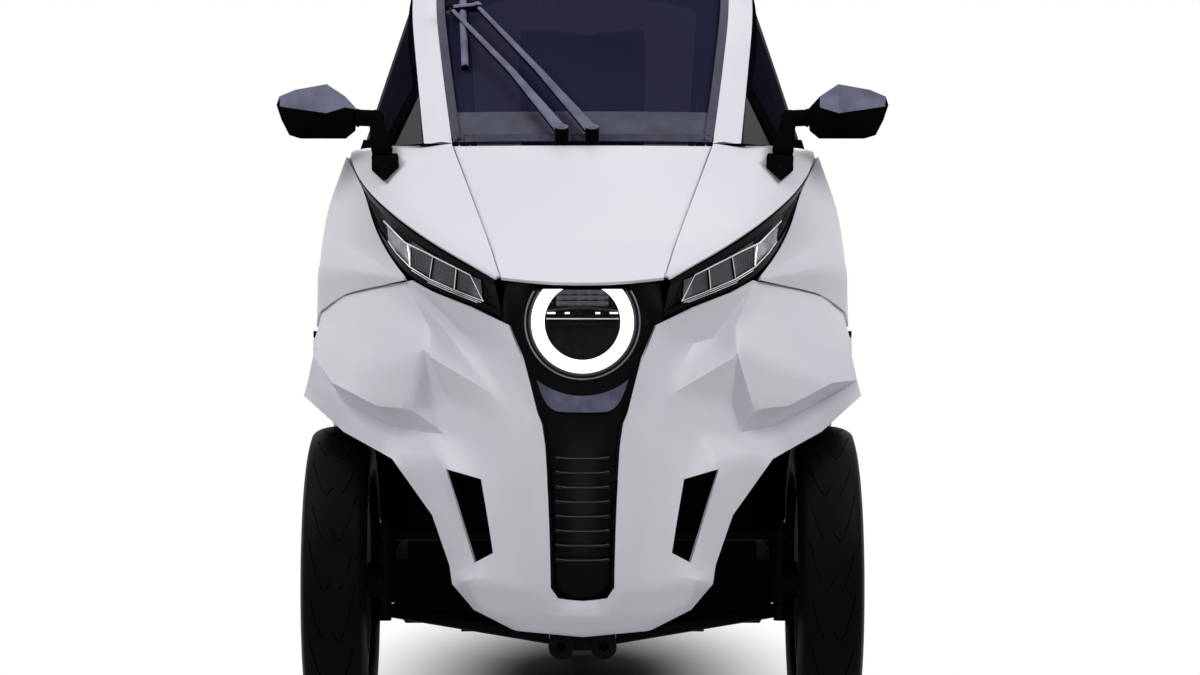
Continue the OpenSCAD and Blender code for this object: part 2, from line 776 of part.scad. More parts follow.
// The first row stands off the nose panel
function lamp_end(line, i) = i == 0 ? mix(line[0], line[1], 0.16) : line[i];
function lamp_grid(columns) = [
    for (i = [0:7]) [for (f = columns) mix(lamp_end(lamp_bottom, i), lamp_end(lamp_top, i), f)]
];
lamp_face = lamp_grid(lamp_columns);
lamp_sunk = inset(lamp_face, lamp_trough);
module side_lamp_housing() {
    walls = [3, 4, lamp_trough + panel_wall, lamp_trough + panel_wall, 4, 3];
    outer = [
        for (i = [0:7])
            [for (j = [0:5]) i > 0 && i < 7 && (j == 2 || j == 3) ? lamp_sunk[i][j] : lamp_face[i][j]]
    ];
    inner = [
        for (i = [0:7])
            [for (j = [0:5]) lamp_face[i][j] - (i == 0 ? walls[0] : walls[j]) * grid_normal(lamp_face, i, j)]
    ];
    skin(outer, inner);
}
module side_lamp_lens() {
    shares = [0.06, 0.5, 0.94];
    function lens_point(i, f, depth) =
        let (
            low = mix(lamp_face[i][2], lamp_sunk[i][2], depth),
            high = mix(lamp_face[i][3], lamp_sunk[i][3], depth)
        )
        mix(low, high, f);
    skin(
        [for (i = [1:6]) [for (f = shares) lens_point(i, f, 0.2)]],
        [for (i = [1:6]) [for (f = shares) lens_point(i, f, 0.84)]]
    );
}
module side_lamp_housings() {
    color(black)
        both_sides()
            side_lamp_housing();
}
module side_lamp_lenses() {
    color(smoke)
        both_sides()
            side_lamp_lens();
}

// Bonnet between the two shoulder panels
module bonnet() {
    grid = [
        for (t = steps(0, 1, 6))
            let (
                p = mix(bonnet_nose, bonnet_cowl, t),
                bow = mix(-20, -32, t),
                crown = mix(-10, 0, t) + 14 * t * (1 - t)
            )
            [for (q = across) [q * (p.x - seam), p.y + bow * (1 - q * q), p.z + crown * (1 - q * q)]]
    ];
    color(white)
        skin(flipped(grid), flipped(inset(grid, -panel_wall)));
}

// Shoulder panel from the bonnet line to the lip, left side
pillar_foot = [287, -797, 1048];
door_corner = [350, bulkhead_y, 1048];
shoulder_inner = concat(
    [for (t = [0, 0.15, 0.31, 0.48, 0.65, 0.83, 1]) mix(bonnet_nose, bonnet_cowl, t) + [seam, 0, 0]],
    [pillar_foot, door_corner]
);
module shoulder() {
    grid = [
        for (i = [0:8])
            let (a = shoulder_inner[i], b = lip[i], crown = 0.06 * norm(b - a))
            [a, mix(a, b, 0.4) + [0.2, -0.2, 0.9] * crown, mix(a, b, 0.8) + [0.4, -0.3, 0.8] * crown, b]
    ];
    color(white)
        skin(grid, inset(grid, panel_wall));
}
// Three-cornered trim between the pillar, the shoulder and the door
module corner_trims() {
    wall = 10;
    rise = [0, 0, 2 * seam];
    top_y = bulkhead_y - 2;
    grid = [
        [pillar_foot + [1, 16, 2] + rise, below_rail(pillar_foot.y + 34, rail_lip + 2 * seam)],
        [door_corner + [-2, -2, 0] + rise, below_rail(top_y, rail_lip + 2 * seam)]
    ];
    color(black)
        both_sides()
            skin(grid, shifted(grid, [-wall, 0, 0]));
}
module shoulder_left() { shoulder(); }
module shoulder_right() { mirror([1, 0, 0]) shoulder(); }

// Wing above the bumper's split line, from the side lamp back to the door
wing_foot = [for (j = [3, 7, 8, 9, 10]) bumper_rows[0][j] + [0, 0, seam]];
wing_bulge = [[2, -1, 1], [14, -8, 6], [30, -10, 14], [36, -4, 20], [34, 0, 26]];
// Lowest point of the wing's rear edge on the body side, just above the bumper's tail
wing_low = 0.504;
module wing() {
    rear = [for (t = steps(wing_low, 0.985, 3)) side_point(bulkhead_y, t) + [0, -3.5, 0]];
    front = [for (f = steps(0, 1, 3)) brow[3] + [4, 5, 1] + f * [5, 8, 8]];
    grid = concat(
        [front],
        [
            for (i = [1:3])
                let (a = wing_foot[i], b = brow[3 + i])
                [for (f = steps(0, 1, 3)) mix(a, b, f) + 4 * f * (1 - f) * wing_bulge[i]]
        ],
        [
            let (a = mix(wing_foot[3], wing_foot[4], 0.5), b = brow[7])
            [for (f = steps(0, 1, 3)) mix(a, b, f) + 4 * f * (1 - f) * wing_bulge[4]]
        ],
        [rear]
    );
    color(white)
        skin(flipped(grid), flipped(inset(grid, -panel_wall)));
}
module wing_left() { wing(); }
module wing_right() { mirror([1, 0, 0]) wing(); }

// Door of the left side: lower panel, ledge and window frame in one wall
door_low = [0, 0.1, 0.2, 0.4, 0.6, 0.8, 1];
door_high = [0, 0.1, 0.5, 0.9, 1];
bar_share = frame_bar / (door_rear_y - door_front_y);
door_shares = concat([0, bar_share], steps(0.16, 0.84, 4), [1 - bar_share, 1]);
// Front edge of the door at t: it leaves room for the steered tyre
function door_front(t) = max(door_front_y, front_axle_y + tyre_reach(side_point(door_front_y, t).z) + arch_gap);
function door_column(y_share, rear_shift) =
    let (shift = y_share == 1 ? rear_shift : 0)
    concat(
        [for (t = door_low) side_point(mix(door_front(t), door_rear_y, y_share) - shift, t)],
        [for (t = door_high) window_point(mix(door_front_y, door_rear_y, y_share) - shift, t)]
    );
function door_grid(rear_shift) = [for (share = door_shares) door_column(share, rear_shift)];
// Wall of doors and quarters: full up to the belt, tapering to the frame's at the roof rail
side_walls = concat([for (t = door_low) door_wall], [for (t = door_high) mix(door_wall, frame_wall, t)]);
function thinned(grid) = [for (row = grid) [for (j = [0:len(row) - 1]) row[j] - [side_walls[j], 0, 0]]];
door_window = [1, 6, 8, 10];
glass_depth = 6;
module door() {
    outer = door_grid(0);
    inner = thinned(door_grid(door_gap));
    color(white)
        difference() {
            union() {
                skin(outer, inner, [door_window]);
                hinge_eye();
            }
            hinge_bore();
        }
}
// Clearance of a pane's first and last row or column from its frame
function edge_gap(i, last) = i == 0 ? seam : i == last ? -seam : 0;
module window_pane(grid, window, depth) {
    pane = [for (i = [window[0]:window[1]]) [for (j = [window[2]:window[3]]) grid[i][j]]];
    rows = len(pane) - 1;
    cols = len(pane[0]) - 1;
    tight = [
        for (i = [0:rows])
            [
                for (j = [0:cols])
                    pane[i][j] + [0, edge_gap(i, rows), edge_gap(j, cols)]
            ]
    ];
    color(smoke)
        skin(shifted(tight, [-depth, 0, 0]), shifted(tight, [-depth - glass_wall, 0, 0]));
}
module door_glass() {
    window_pane(door_grid(0), door_window, glass_depth);
}
module door_left() { door(); }
module door_right() { mirror([1, 0, 0]) door(); }
module door_glass_left() { door_glass(); }
module door_glass_right() { mirror([1, 0, 0]) door_glass(); }

// Rear quarter of the left side with its fixed window
quarter_front_y = door_rear_y + door_gap;
quarter_rear_y = 1146;
quarter_stations = concat(
    [quarter_front_y, quarter_front_y + 70],
    steps(quarter_front_y + 170, 900, 3),
    [1000, 1080, quarter_rear_y]
);
quarter_window = [1, 4, 8, 10];
function quarter_column(y) =
    let (top = min(1, max(0.02, (rail_rear_y + 20 - y) / 200)))
    concat([for (t = door_low) side_point(y, t)], [for (t = door_high) quarter_upper(y, t * top)]);
function quarter_upper(y, t) =
    let (a = glass_point(y), b = below_rail(min(y, rail_rear_y), rail_lip + 2 * seam))
    mix(a, [b.x, y, b.z], t) + [10 * t * (1 - t), 0, 0];
quarter_grid = [for (y = quarter_stations) quarter_column(y)];
module quarter() {
    color(white)
        skin(quarter_grid, thinned(quarter_grid), [quarter_window]);
}
module quarter_left() { quarter(); }
module quarter_right() { mirror([1, 0, 0]) quarter(); }
module quarter_glass() {
    both_sides()
        window_pane(quarter_grid, quarter_window, glass_depth);
}

// Tail between the rear quarters
tail_bow = 88;
function tail_point(t, q, deep) =
    let (p = side_point(quarter_rear_y, t))
    [q * p.x, p.y + seam + mix(4, 0.5, deep) + (tail_bow - 12 * deep) * (1 - q * q), p.z];
module rear_panel() {
    rim_y = rail_rear_y + seam;
    function foot(deep) = [
        for (q = across)
            let (p = rail_inner(rail_rear_y), rise = 1 - q * q)
            [
                q * at(rail_rows, 3, rail_rear_y),
                rim_y + 4 - 3 * deep + rise * at(rail_rows, 6, p.y),
                p.z - 16 - 10 * deep + rise * at(rail_rows, 5, p.y)
            ]
    ];
    function sheet(deep) = concat(
        [for (t = door_low) [for (q = across) tail_point(t, q, deep)]],
        [[for (q = across) tail_point(1, q, deep) + [0, 0, 16 + 8 * (1 - q * q)]]],
        [foot(deep)]
    );
    color(white)
        skin(sheet(0), sheet(1));
}

// Lamp bars on the tail
module tail_lamps() {
    lamp_low = 0.74;
    lamp_high = 0.86;
    grid = [
        for (t = [lamp_low, lamp_high])
            [for (q = [0.33, 0.5, 0.66, 0.8]) tail_point(t, q, 0) + [0, seam, 0]]
    ];
    color([0.7, 0.05, 0.05])
        both_sides()
            skin(shifted(grid, [0, 12, 0]), grid);
}

// Dashboard with its instrument hood and the steering column's shroud
dash_y = -560;
column_foot = [0, -560, 800];
column_l = 190;
module dashboard() {
    half = 300;
    profile = [[floor_front_y, 700], [dash_y - 20, 690], [dash_y, 790], [dash_y - 10, 900],
        [dash_y - 60, 990], [floor_front_y, 1010]];
    color(dark) {
        translate([-half, 0, 0])
            rotate([90, 0, 90])
                linear_extrude(2 * half)
                    polygon(profile);
        translate([0, dash_y - 60, 985])
            rotate([-90, 0, 0])
                cylinder(h = 110, r = 62);
        column_line() {
            cylinder(h = column_l, r = 34);
        }
    }
}

// Frame of the steering column: +Z runs from the dashboard up to the wheel
module column_line() {
    translate(column_foot)
        rotate([column_lean - 90, 0, 0])
            children();
}
module steering_wheel() {
    grip = 14;
    hub_r = 52;
    color(black)
        column_line()
            translate([0, 0, column_l + seam]) {
                rotate_extrude($fn = 96)
                    translate([wheel_d / 2 - grip, 30])
                        circle(grip, $fn = 24);
                cylinder(h = 36, r = hub_r);
                for (a = [0, 120, 240])
                    rotate([0, 0, a + 90])
                        translate([hub_r - 6, -16, 18])
                            cube([wheel_d / 2 - hub_r - grip + 10, 32, 16]);
            }
}

// Cushion drawn by its side outline, with its middle on x = 0
module cushion(outline, w) {
    color(cloth)
        translate([-w / 2, 0, 0])
            rotate([90, 0, 90])
                linear_extrude(w)
                    polygon(outline);
}
seat_base_z = floor_z + 190 + 2 * seam;
module driver_cushion() {
    cushion([[-60, seat_base_z], [330, seat_base_z], [340, seat_base_z + 80], [250, seat_base_z + 74],
        [-40, seat_base_z + 100], [-70, seat_base_z + 80]], seat_w);
}
module driver_backrest() {
    foot = seat_base_z + 80 + seam;
    cushion([[262, foot], [340, foot], [440, foot + 560], [482, foot + 910], [416, foot + 922],
        [360, foot + 620]], seat_w - 60);
}
rear_seat_z = tyre_d + 70;
module passenger_cushion() {
    cushion([[520, rear_seat_z], [830, rear_seat_z], [840, rear_seat_z + 74], [760, rear_seat_z + 70],
        [530, rear_seat_z + 92], [508, rear_seat_z + 70]], rear_seat_w);
}
module passenger_backrest() {
    foot = rear_seat_z + 74 + seam;
    cushion([[775, foot], [838, foot], [895, foot + 420], [900, foot + 540], [850, foot + 550],
        [832, foot + 440]], rear_seat_w - 60);
}

// Mirror on its stem, left side: outline of the shell seen from the front, as x and z
mirror_outline = [
    [552, 1127], [547, 1142], [518, 1154], [462, 1164], [429, 1142], [407, 1118], [411, 1082], [429, 1067],
    [510, 1067], [529, 1073], [543, 1100]
];
// Seat of the stem on the shoulder panel, and the direction square to the panel there
mirror_seat = [358, -790, 1021.6];
mirror_up = [0.354, -0.508, 0.785];
function on_shoulder(x, z) =
    let (slope = mirror_up.x * (x - mirror_seat.x) + mirror_up.z * (z - mirror_seat.z))
    [x, mirror_seat.y - slope / mirror_up.y, z] + 2.2 * mirror_up;
module small_cubes(points) {
    for (p = points)
        translate(p)
            cube(1, center = true);
}
module mirror_arm() {
    head_y = -722;
    neck_r = 15;
    // Ridge between the upper and the lower facet: x, step forward, z
    ridge = [[545, 22, 1123], [460, 56, 1109], [428, 30, 1121]];
    front = [for (p = ridge) [p[0], head_y - p[1], p[2]]];
    middle = [for (p = mirror_outline) [p[0], head_y - 12, p[1]]];
    rear = [
        for (p = mirror_outline)
            [mix(p[0], ridge[1][0], 0.05), head_y + 34, mix(p[1], ridge[1][2], 0.05)]
    ];
    elbow = [374, head_y - 6, 1103];
    collar = [404, head_y - 5, 1104];
    // Corners of the foot seen from the front, as x and z
    foot_rim = [[351, 983], [326, 1008], [375, 1004], [330, 1030], [376, 1030]];
    foot_low = [for (p = foot_rim) on_shoulder(p[0], p[1])];
    foot_high = [[351, -864, 985], [328, -830, 1029], [376, -812, 1029], [332, -796, 1036], [376, -770, 1040]];
    color(black) {
        hull()
            small_cubes(concat(front, middle, rear));
        bar(elbow, [447, head_y - 2, 1106], neck_r);
        bar(collar, collar + [4, 0, 0], neck_r + 1.6);
        translate(elbow)
            sphere(neck_r + 0.8);
        hull() {
            translate(elbow)
                sphere(12, $fn = 24);
            for (p = [[352, -802, 1042], [365, -794, 1042]])
                translate(p)
                    sphere(13, $fn = 24);
        }
        hull()
            small_cubes(concat(foot_low, foot_high));
    }
}
module mirror_left() { mirror_arm(); }
module mirror_right() { mirror([1, 0, 0]) mirror_arm(); }

// Point over the windscreen at y and share q, lifted square to the glass
function over_screen(y, q, lift) = screen_point(y, q, 0) - lift * rail_inward(y);
// Ball that joins bars at p
module knuckle_ball(p, r) {
    translate(p)
        sphere(r, $fn = 24);
}
// Flat arm from a to b over the windscreen, with its widths at both ends
module flat_arm(a, b, wide_a, wide_b, thick) {
    square = cross(b - a, rail_inward((a.y + b.y) / 2));
    hull()
        for (end = [[a, wide_a], [b, wide_b]], side = [-1, 1])
            translate(end[0] + side * (end[1] - thick) / 2 * square / norm(square))
                sphere(thick / 2, $fn = 16);
}
// Twin-arm wiper parked along the pillar
module wiper() {
    arm_t = 9;
    hub_x = [-37, 17];
    hub_foot = [0, -826, 1058];
    bracket_y = -452;
    bracket_q = [-0.9, -0.72];
    bracket_lift = 18;
    blade_q = -0.82;
    color(black) {
        for (i = [0, 1]) {
            hub = hub_foot + [hub_x[i], 0, 0];
            knee = over_screen(-640, mix(hub_x[i] / 260, bracket_q[i], 0.48), 20);
            bar(hub, hub + [0, -12, 24], 12);
            knuckle_ball(hub + [0, -8, 16], 12.6);
            flat_arm(hub + [0, -8, 16], knee, 25, 15, arm_t);
            flat_arm(knee, over_screen(bracket_y, bracket_q[i], bracket_lift), 15.4, 10, arm_t + 0.4);
            knuckle_ball(over_screen(bracket_y, bracket_q[i], bracket_lift), 10);
        }
        bar(
            over_screen(bracket_y, bracket_q[0], bracket_lift),
            over_screen(bracket_y, bracket_q[1], bracket_lift),
            8
        );
        bar(over_screen(-612, blade_q - 0.02, 12), over_screen(bracket_y, blade_q, 13), 7);
        knuckle_ball(over_screen(bracket_y, blade_q, 13), 11);
        bar(over_screen(bracket_y, blade_q, 13), over_screen(-290, blade_q + 0.01, 12), 7);
    }
}

// Two-sided rear swing arm with the rear axle
module swing_arm() {
    reach = 84;
    plate = 24;
    pivot_r = 34;
    boss_r = 30;
    color(black) {
        translate([0, rear_axle_y, axle_z])
            cross_cylinder(2 * (reach + plate) + 20, axle_r);
        for (side = [-1, 1])
            translate([side * (reach + plate / 2) - plate / 2, 0, 0])
                rotate([90, 0, 90])
                    linear_extrude(plate)
                        union() {
                            translate([rear_axle_y, axle_z])
                                circle(boss_r);
                            translate([swing_pivot_y, swing_pivot_z])
                                circle(pivot_r);
                            polygon([
                                [rear_axle_y, axle_z + boss_r - 4], [rear_axle_y, axle_z - boss_r + 4],
                                [swing_pivot_y, swing_pivot_z - pivot_r + 4],
                                [swing_pivot_y, swing_pivot_z + pivot_r - 4]
                            ]);
                        }
        translate([0, swing_pivot_y, swing_pivot_z])
            cross_cylinder(2 * reach + plate, swing_tube_r);
    }
}
module motor_block() {
    color(dark)
        translate([-54, floor_rear_y + seam, floor_z - floor_wall + 5])
            cube([108, rear_axle_y - tyre_r - 36 - floor_rear_y, 112]);
}

// Box and shelf under the passenger's seat
module rear_seat_box() {
    half = 178;
    shelf = [
        [470, floor_z + seam], [520, floor_z + seam], [520, rear_seat_z - 32], [850, rear_seat_z - 32],
        [850, rear_seat_z - seam], [470, rear_seat_z - seam]
    ];
    color(dark)
        translate([-half, 0, 0])
            rotate([90, 0, 90])
                linear_extrude(2 * half)
                    polygon(shelf);
}

// Guard over the rear wheel
module rear_mudguard() {
    half = 84 - seam;
    inner_r = tyre_r + 24;
    guard_front = 30;
    guard_rear = 178;
    color(black)
        at_wheel(0, rear_axle_y)
            rotate([guard_front, 0, 0])
                rotate([90, 0, 90])
                    rotate_extrude(angle = guard_rear - guard_front, $fn = 96)
                        polygon([[inner_r, -half], [inner_r + 6, -half], [inner_r + 6, half], [inner_r, half]]);
}

module knuckle_left() { knuckle(1); }
module knuckle_right() { knuckle(-1); }
module rim_front_left() { at_wheel(wheel_x, front_axle_y) rim(1, axle_r); }
module rim_front_right() { at_wheel(-wheel_x, front_axle_y) rim(-1, axle_r); }
module rim_rear() { at_wheel(0, rear_axle_y) rim(1, axle_r); }
module tyre_front_left() { at_wheel(wheel_x, front_axle_y) tyre(); }
module tyre_front_right() { at_wheel(-wheel_x, front_axle_y) tyre(); }
module tyre_rear() { at_wheel(0, rear_axle_y) tyre(); }

floor_tub();
arch_liners();
battery_block();
bulkhead();
front_subframe();
suspension_arms();
front_bumper();
nose_panel();
headlamp_housing();
headlamp_ring();
headlamp_lens();
side_lamp_housings();
side_lamp_lenses();
bonnet();
shoulder_left();
shoulder_right();
corner_trims();
wing_left();
wing_right();
pillar_left();
pillar_right();
roof_panel();
windscreen();
wiper();
quarter_left();
quarter_right();
quarter_glass();
rear_panel();
rear_window();
tail_lamps();
dashboard();
driver_cushion();
driver_backrest();
passenger_cushion();
passenger_backrest();
mirror_left();
mirror_right();
rear_seat_box();
swing_arm();
rear_mudguard();
motor_block();
knuckle_left();
knuckle_right();
rim_front_left();
rim_front_right();
rim_rear();
tyre_front_left();
tyre_front_right();
tyre_rear();
door_left();
door_glass_left();
door_right();
door_glass_right();
steering_wheel();
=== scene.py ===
"""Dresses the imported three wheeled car: finishes, smooth panels, lamps, tyres, seats and the studio."""
import json
import logging
import math
from dataclasses import dataclass, field
from enum import Enum
from typing import Callable, Sequence

import bmesh
import bpy
from mathutils import Matrix, Vector
from mathutils.bvhtree import BVHTree


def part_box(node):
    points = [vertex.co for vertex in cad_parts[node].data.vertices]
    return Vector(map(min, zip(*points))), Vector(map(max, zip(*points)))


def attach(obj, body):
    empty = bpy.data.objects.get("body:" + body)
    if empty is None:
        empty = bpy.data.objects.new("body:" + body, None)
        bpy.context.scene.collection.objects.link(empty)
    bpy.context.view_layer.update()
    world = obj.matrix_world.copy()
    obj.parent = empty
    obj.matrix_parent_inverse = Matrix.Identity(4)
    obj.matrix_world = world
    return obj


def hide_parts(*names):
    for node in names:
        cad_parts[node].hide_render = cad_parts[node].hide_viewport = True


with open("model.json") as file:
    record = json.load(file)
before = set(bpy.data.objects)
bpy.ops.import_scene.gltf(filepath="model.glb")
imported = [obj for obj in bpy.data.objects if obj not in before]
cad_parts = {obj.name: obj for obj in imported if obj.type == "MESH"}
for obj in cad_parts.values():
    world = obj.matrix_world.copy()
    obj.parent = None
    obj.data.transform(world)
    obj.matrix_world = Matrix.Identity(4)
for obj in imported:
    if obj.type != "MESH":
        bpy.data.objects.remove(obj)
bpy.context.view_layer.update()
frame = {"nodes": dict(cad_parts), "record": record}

LOG = logging.getLogger("three_wheeled_car")
Colour = tuple[float, float, float]
Point = tuple[float, float, float]
Pair = tuple[float, float]
MM = 0.001
CHASSIS = "chassis"
NOISE_SPAN: Pair = (0.3, 0.7)


class Surface(Enum):
    """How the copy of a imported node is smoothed."""

    PANEL = "panel"
    TURNED = "turned"
    EDGED = "edged"


class Lining(Enum):
    """Which faces of a piece take its second finish."""

    INNER = "inner"
    UNDER = "under"


def body_of_node(node: str) -> str:
    """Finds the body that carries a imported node.

    Args:
        node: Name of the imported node.

    Returns:
        Name of the body that lists the node.
    """
    bodies = frame["record"]["behaviour"]["bodies"]
    return next(name for name, nodes in bodies.items() if node in nodes)


def slot_of_node(node: str) -> str:
    """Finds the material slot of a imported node.

    Args:
        node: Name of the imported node.

    Returns:
        Name of the record's material slot.
    """
    return next(part["material_slot"] for part in frame["record"]["subparts"] if part["node"] == node)


class NodeSheet:
    """Adds and links the shader nodes of one material."""

    def __init__(self, name: str) -> None:
        """Starts an empty material with a Principled shader and its output.

        Args:
            name: Name of the new material.
        """
        self.material = bpy.data.materials.new(name)
        self.material.use_nodes = True
        self.tree = self.material.node_tree
        self.tree.nodes.clear()
        self.output = self.add("ShaderNodeOutputMaterial")
        self.shader = self.add("ShaderNodeBsdfPrincipled")
        self.link(self.shader, "BSDF", self.output, "Surface")
        self.place = self.add("ShaderNodeTexCoord")

    def add(self, kind: str, **settings: object) -> bpy.types.Node:
        """Adds a node.

        Args:
            kind: Blender's type name of the node.
            **settings: Attributes to set on the node.

        Returns:
            The new node.
        """
        node = self.tree.nodes.new(kind)
        for key, value in settings.items():
            setattr(node, key, value)
        return node

    def link(self, source: bpy.types.Node, out: str, target: bpy.types.Node, into: str | int) -> None:
        """Links an output socket, by name, to an input socket, by name or number."""
        self.tree.links.new(source.outputs[out], target.inputs[into])

    def set(self, **values: object) -> None:
        """Sets the Principled shader's own sockets; underscores in names stand for blanks."""
        for key, value in values.items():
            self.shader.inputs[key.replace("_", " ").title().replace("Ior", "IOR")].default_value = value

    def noise(self, scale: float, detail: float = 2.0) -> bpy.types.Node:
        """Adds noise on object coordinates.

        Args:
            scale: Scale of the noise per metre.
            detail: Octaves of the noise.

        Returns:
            The noise node.
        """
        noise = self.add("ShaderNodeTexNoise")
        noise.inputs["Scale"].default_value = scale
        noise.inputs["Detail"].default_value = detail
        self.link(self.place, "Object", noise, "Vector")
        return noise

    def tint(
        self, source: bpy.types.Node, out: str, colours: tuple[Colour, Colour], span: Pair = NOISE_SPAN
    ) -> bpy.types.Node:
        """Colours the shader by a value, from one colour to another.

        Args:
            source: Node that gives the value.
            out: Name of its output.
            colours: Colours at the lower and at the upper end.
            span: Values of the two ends.

        Returns:
            The ramp's node.
        """
        ramp = self.add("ShaderNodeValToRGB")
        for stop, position, colour in zip(ramp.color_ramp.elements, span, colours):
            stop.position = position
            stop.color = (*colour, 1.0)
        self.link(source, out, ramp, "Fac")
        self.link(ramp, "Color", self.shader, "Base Color")
        return ramp

    def bump(self, source: bpy.types.Node, out: str, depth: float, strength: float) -> None:
        """Bends the shader's normal by a height.

        Args:
            source: Node that gives the height.
            out: Name of its output.
            depth: Height in metres.
            strength: Strength from 0 to 1.
        """
        bump = self.add("ShaderNodeBump")
        bump.inputs["Distance"].default_value = depth
        bump.inputs["Strength"].default_value = strength
        self.link(source, out, bump, "Height")
        self.link(bump, "Normal", self.shader, "Normal")


def shades(colour: Colour, factors: Pair) -> tuple[Colour, Colour]:
    """Gives two shades of a colour, made lighter or darker by two factors."""
    return tuple(tuple(min(1.0, part * factor) for part in colour) for factor in factors)


@dataclass(frozen=True)
class PearlPaint:
    """White paint with fine pearl flakes under a clear coat."""

    name: str
    colour: Colour
    shade: Colour
    flake_scale: float = 1400.0
    flake_share: float = 0.6
    cloud_scale: float = 3.0
    mix_span: Pair = (0.6, 1.0)
    roughness: float = 0.5
    coat: float = 0.3
    coat_roughness: float = 0.4
    gloss: float = 0.35

    def material(self) -> bpy.types.Material:
        """Builds the material.

        Returns:
            The new material.
        """
        sheet = NodeSheet(self.name)
        mixed = sheet.add("ShaderNodeMath", operation="MULTIPLY_ADD")
        sheet.link(sheet.noise(self.flake_scale, 1.0), "Fac", mixed, 0)
        mixed.inputs[1].default_value = self.flake_share
        sheet.link(sheet.noise(self.cloud_scale), "Fac", mixed, 2)
        sheet.tint(mixed, "Value", (self.shade, self.colour), self.mix_span)
        sheet.set(roughness=self.roughness, specular_ior_level=self.gloss)
        sheet.set(coat_weight=self.coat, coat_roughness=self.coat_roughness)
        return sheet.material


@dataclass(frozen=True)
class MouldedPlastic:
    """Plastic with a moulded grain, under a clear coat where it has one."""

    name: str
    colour: Colour
    roughness: float
    grain_scale: float
    grain_depth: float
    gloss: float = 0.15
    coat: float = 0.0
    coat_roughness: float = 0.04
    contrast: Pair = (0.8, 1.25)
    grain_span: Pair = (0.35, 0.65)
    grain_strength: float = 0.35

    def material(self) -> bpy.types.Material:
        """Builds the material.

        Returns:
            The new material.
        """
        sheet = NodeSheet(self.name)
        grain = sheet.noise(self.grain_scale, 3.0)
        sheet.tint(grain, "Fac", shades(self.colour, self.contrast), self.grain_span)
        sheet.set(roughness=self.roughness, specular_ior_level=self.gloss)
        sheet.set(coat_weight=self.coat, coat_roughness=self.coat_roughness)
        sheet.bump(grain, "Fac", self.grain_depth, self.grain_strength)
        return sheet.material


@dataclass(frozen=True)
class CastMetal:
    """Metal, coated or bare, with slight stains."""

    name: str
    colour: Colour
    roughness: float
    metallic: float = 1.0
    gloss: float = 0.2
    stain_scale: float = 26.0
    contrast: Pair = (0.78, 1.15)
    fine_scale: float = 420.0
    fine_depth: float = 0.2 * MM
    fine_strength: float = 0.2

    def material(self) -> bpy.types.Material:
        """Builds the material.

        Returns:
            The new material.
        """
        sheet = NodeSheet(self.name)
        sheet.tint(sheet.noise(self.stain_scale, 4.0), "Fac", shades(self.colour, self.contrast))
        sheet.set(roughness=self.roughness, metallic=self.metallic, specular_ior_level=self.gloss)
        sheet.bump(sheet.noise(self.fine_scale), "Fac", self.fine_depth, self.fine_strength)
        return sheet.material


@dataclass(frozen=True)
class Rubber:
    """Matt tyre rubber with a slight bloom."""

    name: str
    colour: Colour
    roughness: float = 0.5
    gloss: float = 0.03
    bloom_scale: float = 9.0
    contrast: Pair = (0.75, 1.5)
    fine_scale: float = 700.0
    fine_depth: float = 0.3 * MM
    fine_strength: float = 0.25

    def material(self) -> bpy.types.Material:
        """Builds the material.

        Returns:
            The new material.
        """
        sheet = NodeSheet(self.name)
        sheet.tint(sheet.noise(self.bloom_scale, 4.0), "Fac", shades(self.colour, self.contrast))
        sheet.set(roughness=self.roughness, specular_ior_level=self.gloss)
        sheet.bump(sheet.noise(self.fine_scale), "Fac", self.fine_depth, self.fine_strength)
        return sheet.material


@dataclass(frozen=True)
class TintedGlass:
    """See-through glass or lens with a tint; cover is how much of what lies behind it hides."""

    name: str
    colour: Colour
    cover: float
    roughness: float
    gloss: float = 0.0
    haze_scale: float = 2.0
    contrast: Pair = (0.85, 1.2)

    def material(self) -> bpy.types.Material:
        """Builds the material.

        Returns:
            The new material.
        """
        sheet = NodeSheet(self.name)
        sheet.tint(sheet.noise(self.haze_scale), "Fac", shades(self.colour, self.contrast))
        sheet.set(roughness=self.roughness, alpha=self.cover, specular_ior_level=self.gloss)
        return sheet.material


@dataclass(frozen=True)
class LightGuide:
    """Opal plastic lit from inside."""

    name: str
    colour: Colour
    glow: float
    roughness: float = 0.3
    patch_scale: float = 30.0
    contrast: Pair = (0.94, 1.0)

    def material(self) -> bpy.types.Material:
        """Builds the material.

        Returns:
            The new material.
        """
        sheet = NodeSheet(self.name)
        tint = sheet.tint(sheet.noise(self.patch_scale), "Fac", shades(self.colour, self.contrast))
        sheet.link(tint, "Color", sheet.shader, "Emission Color")
        sheet.set(roughness=self.roughness, emission_strength=self.glow)
        return sheet.material


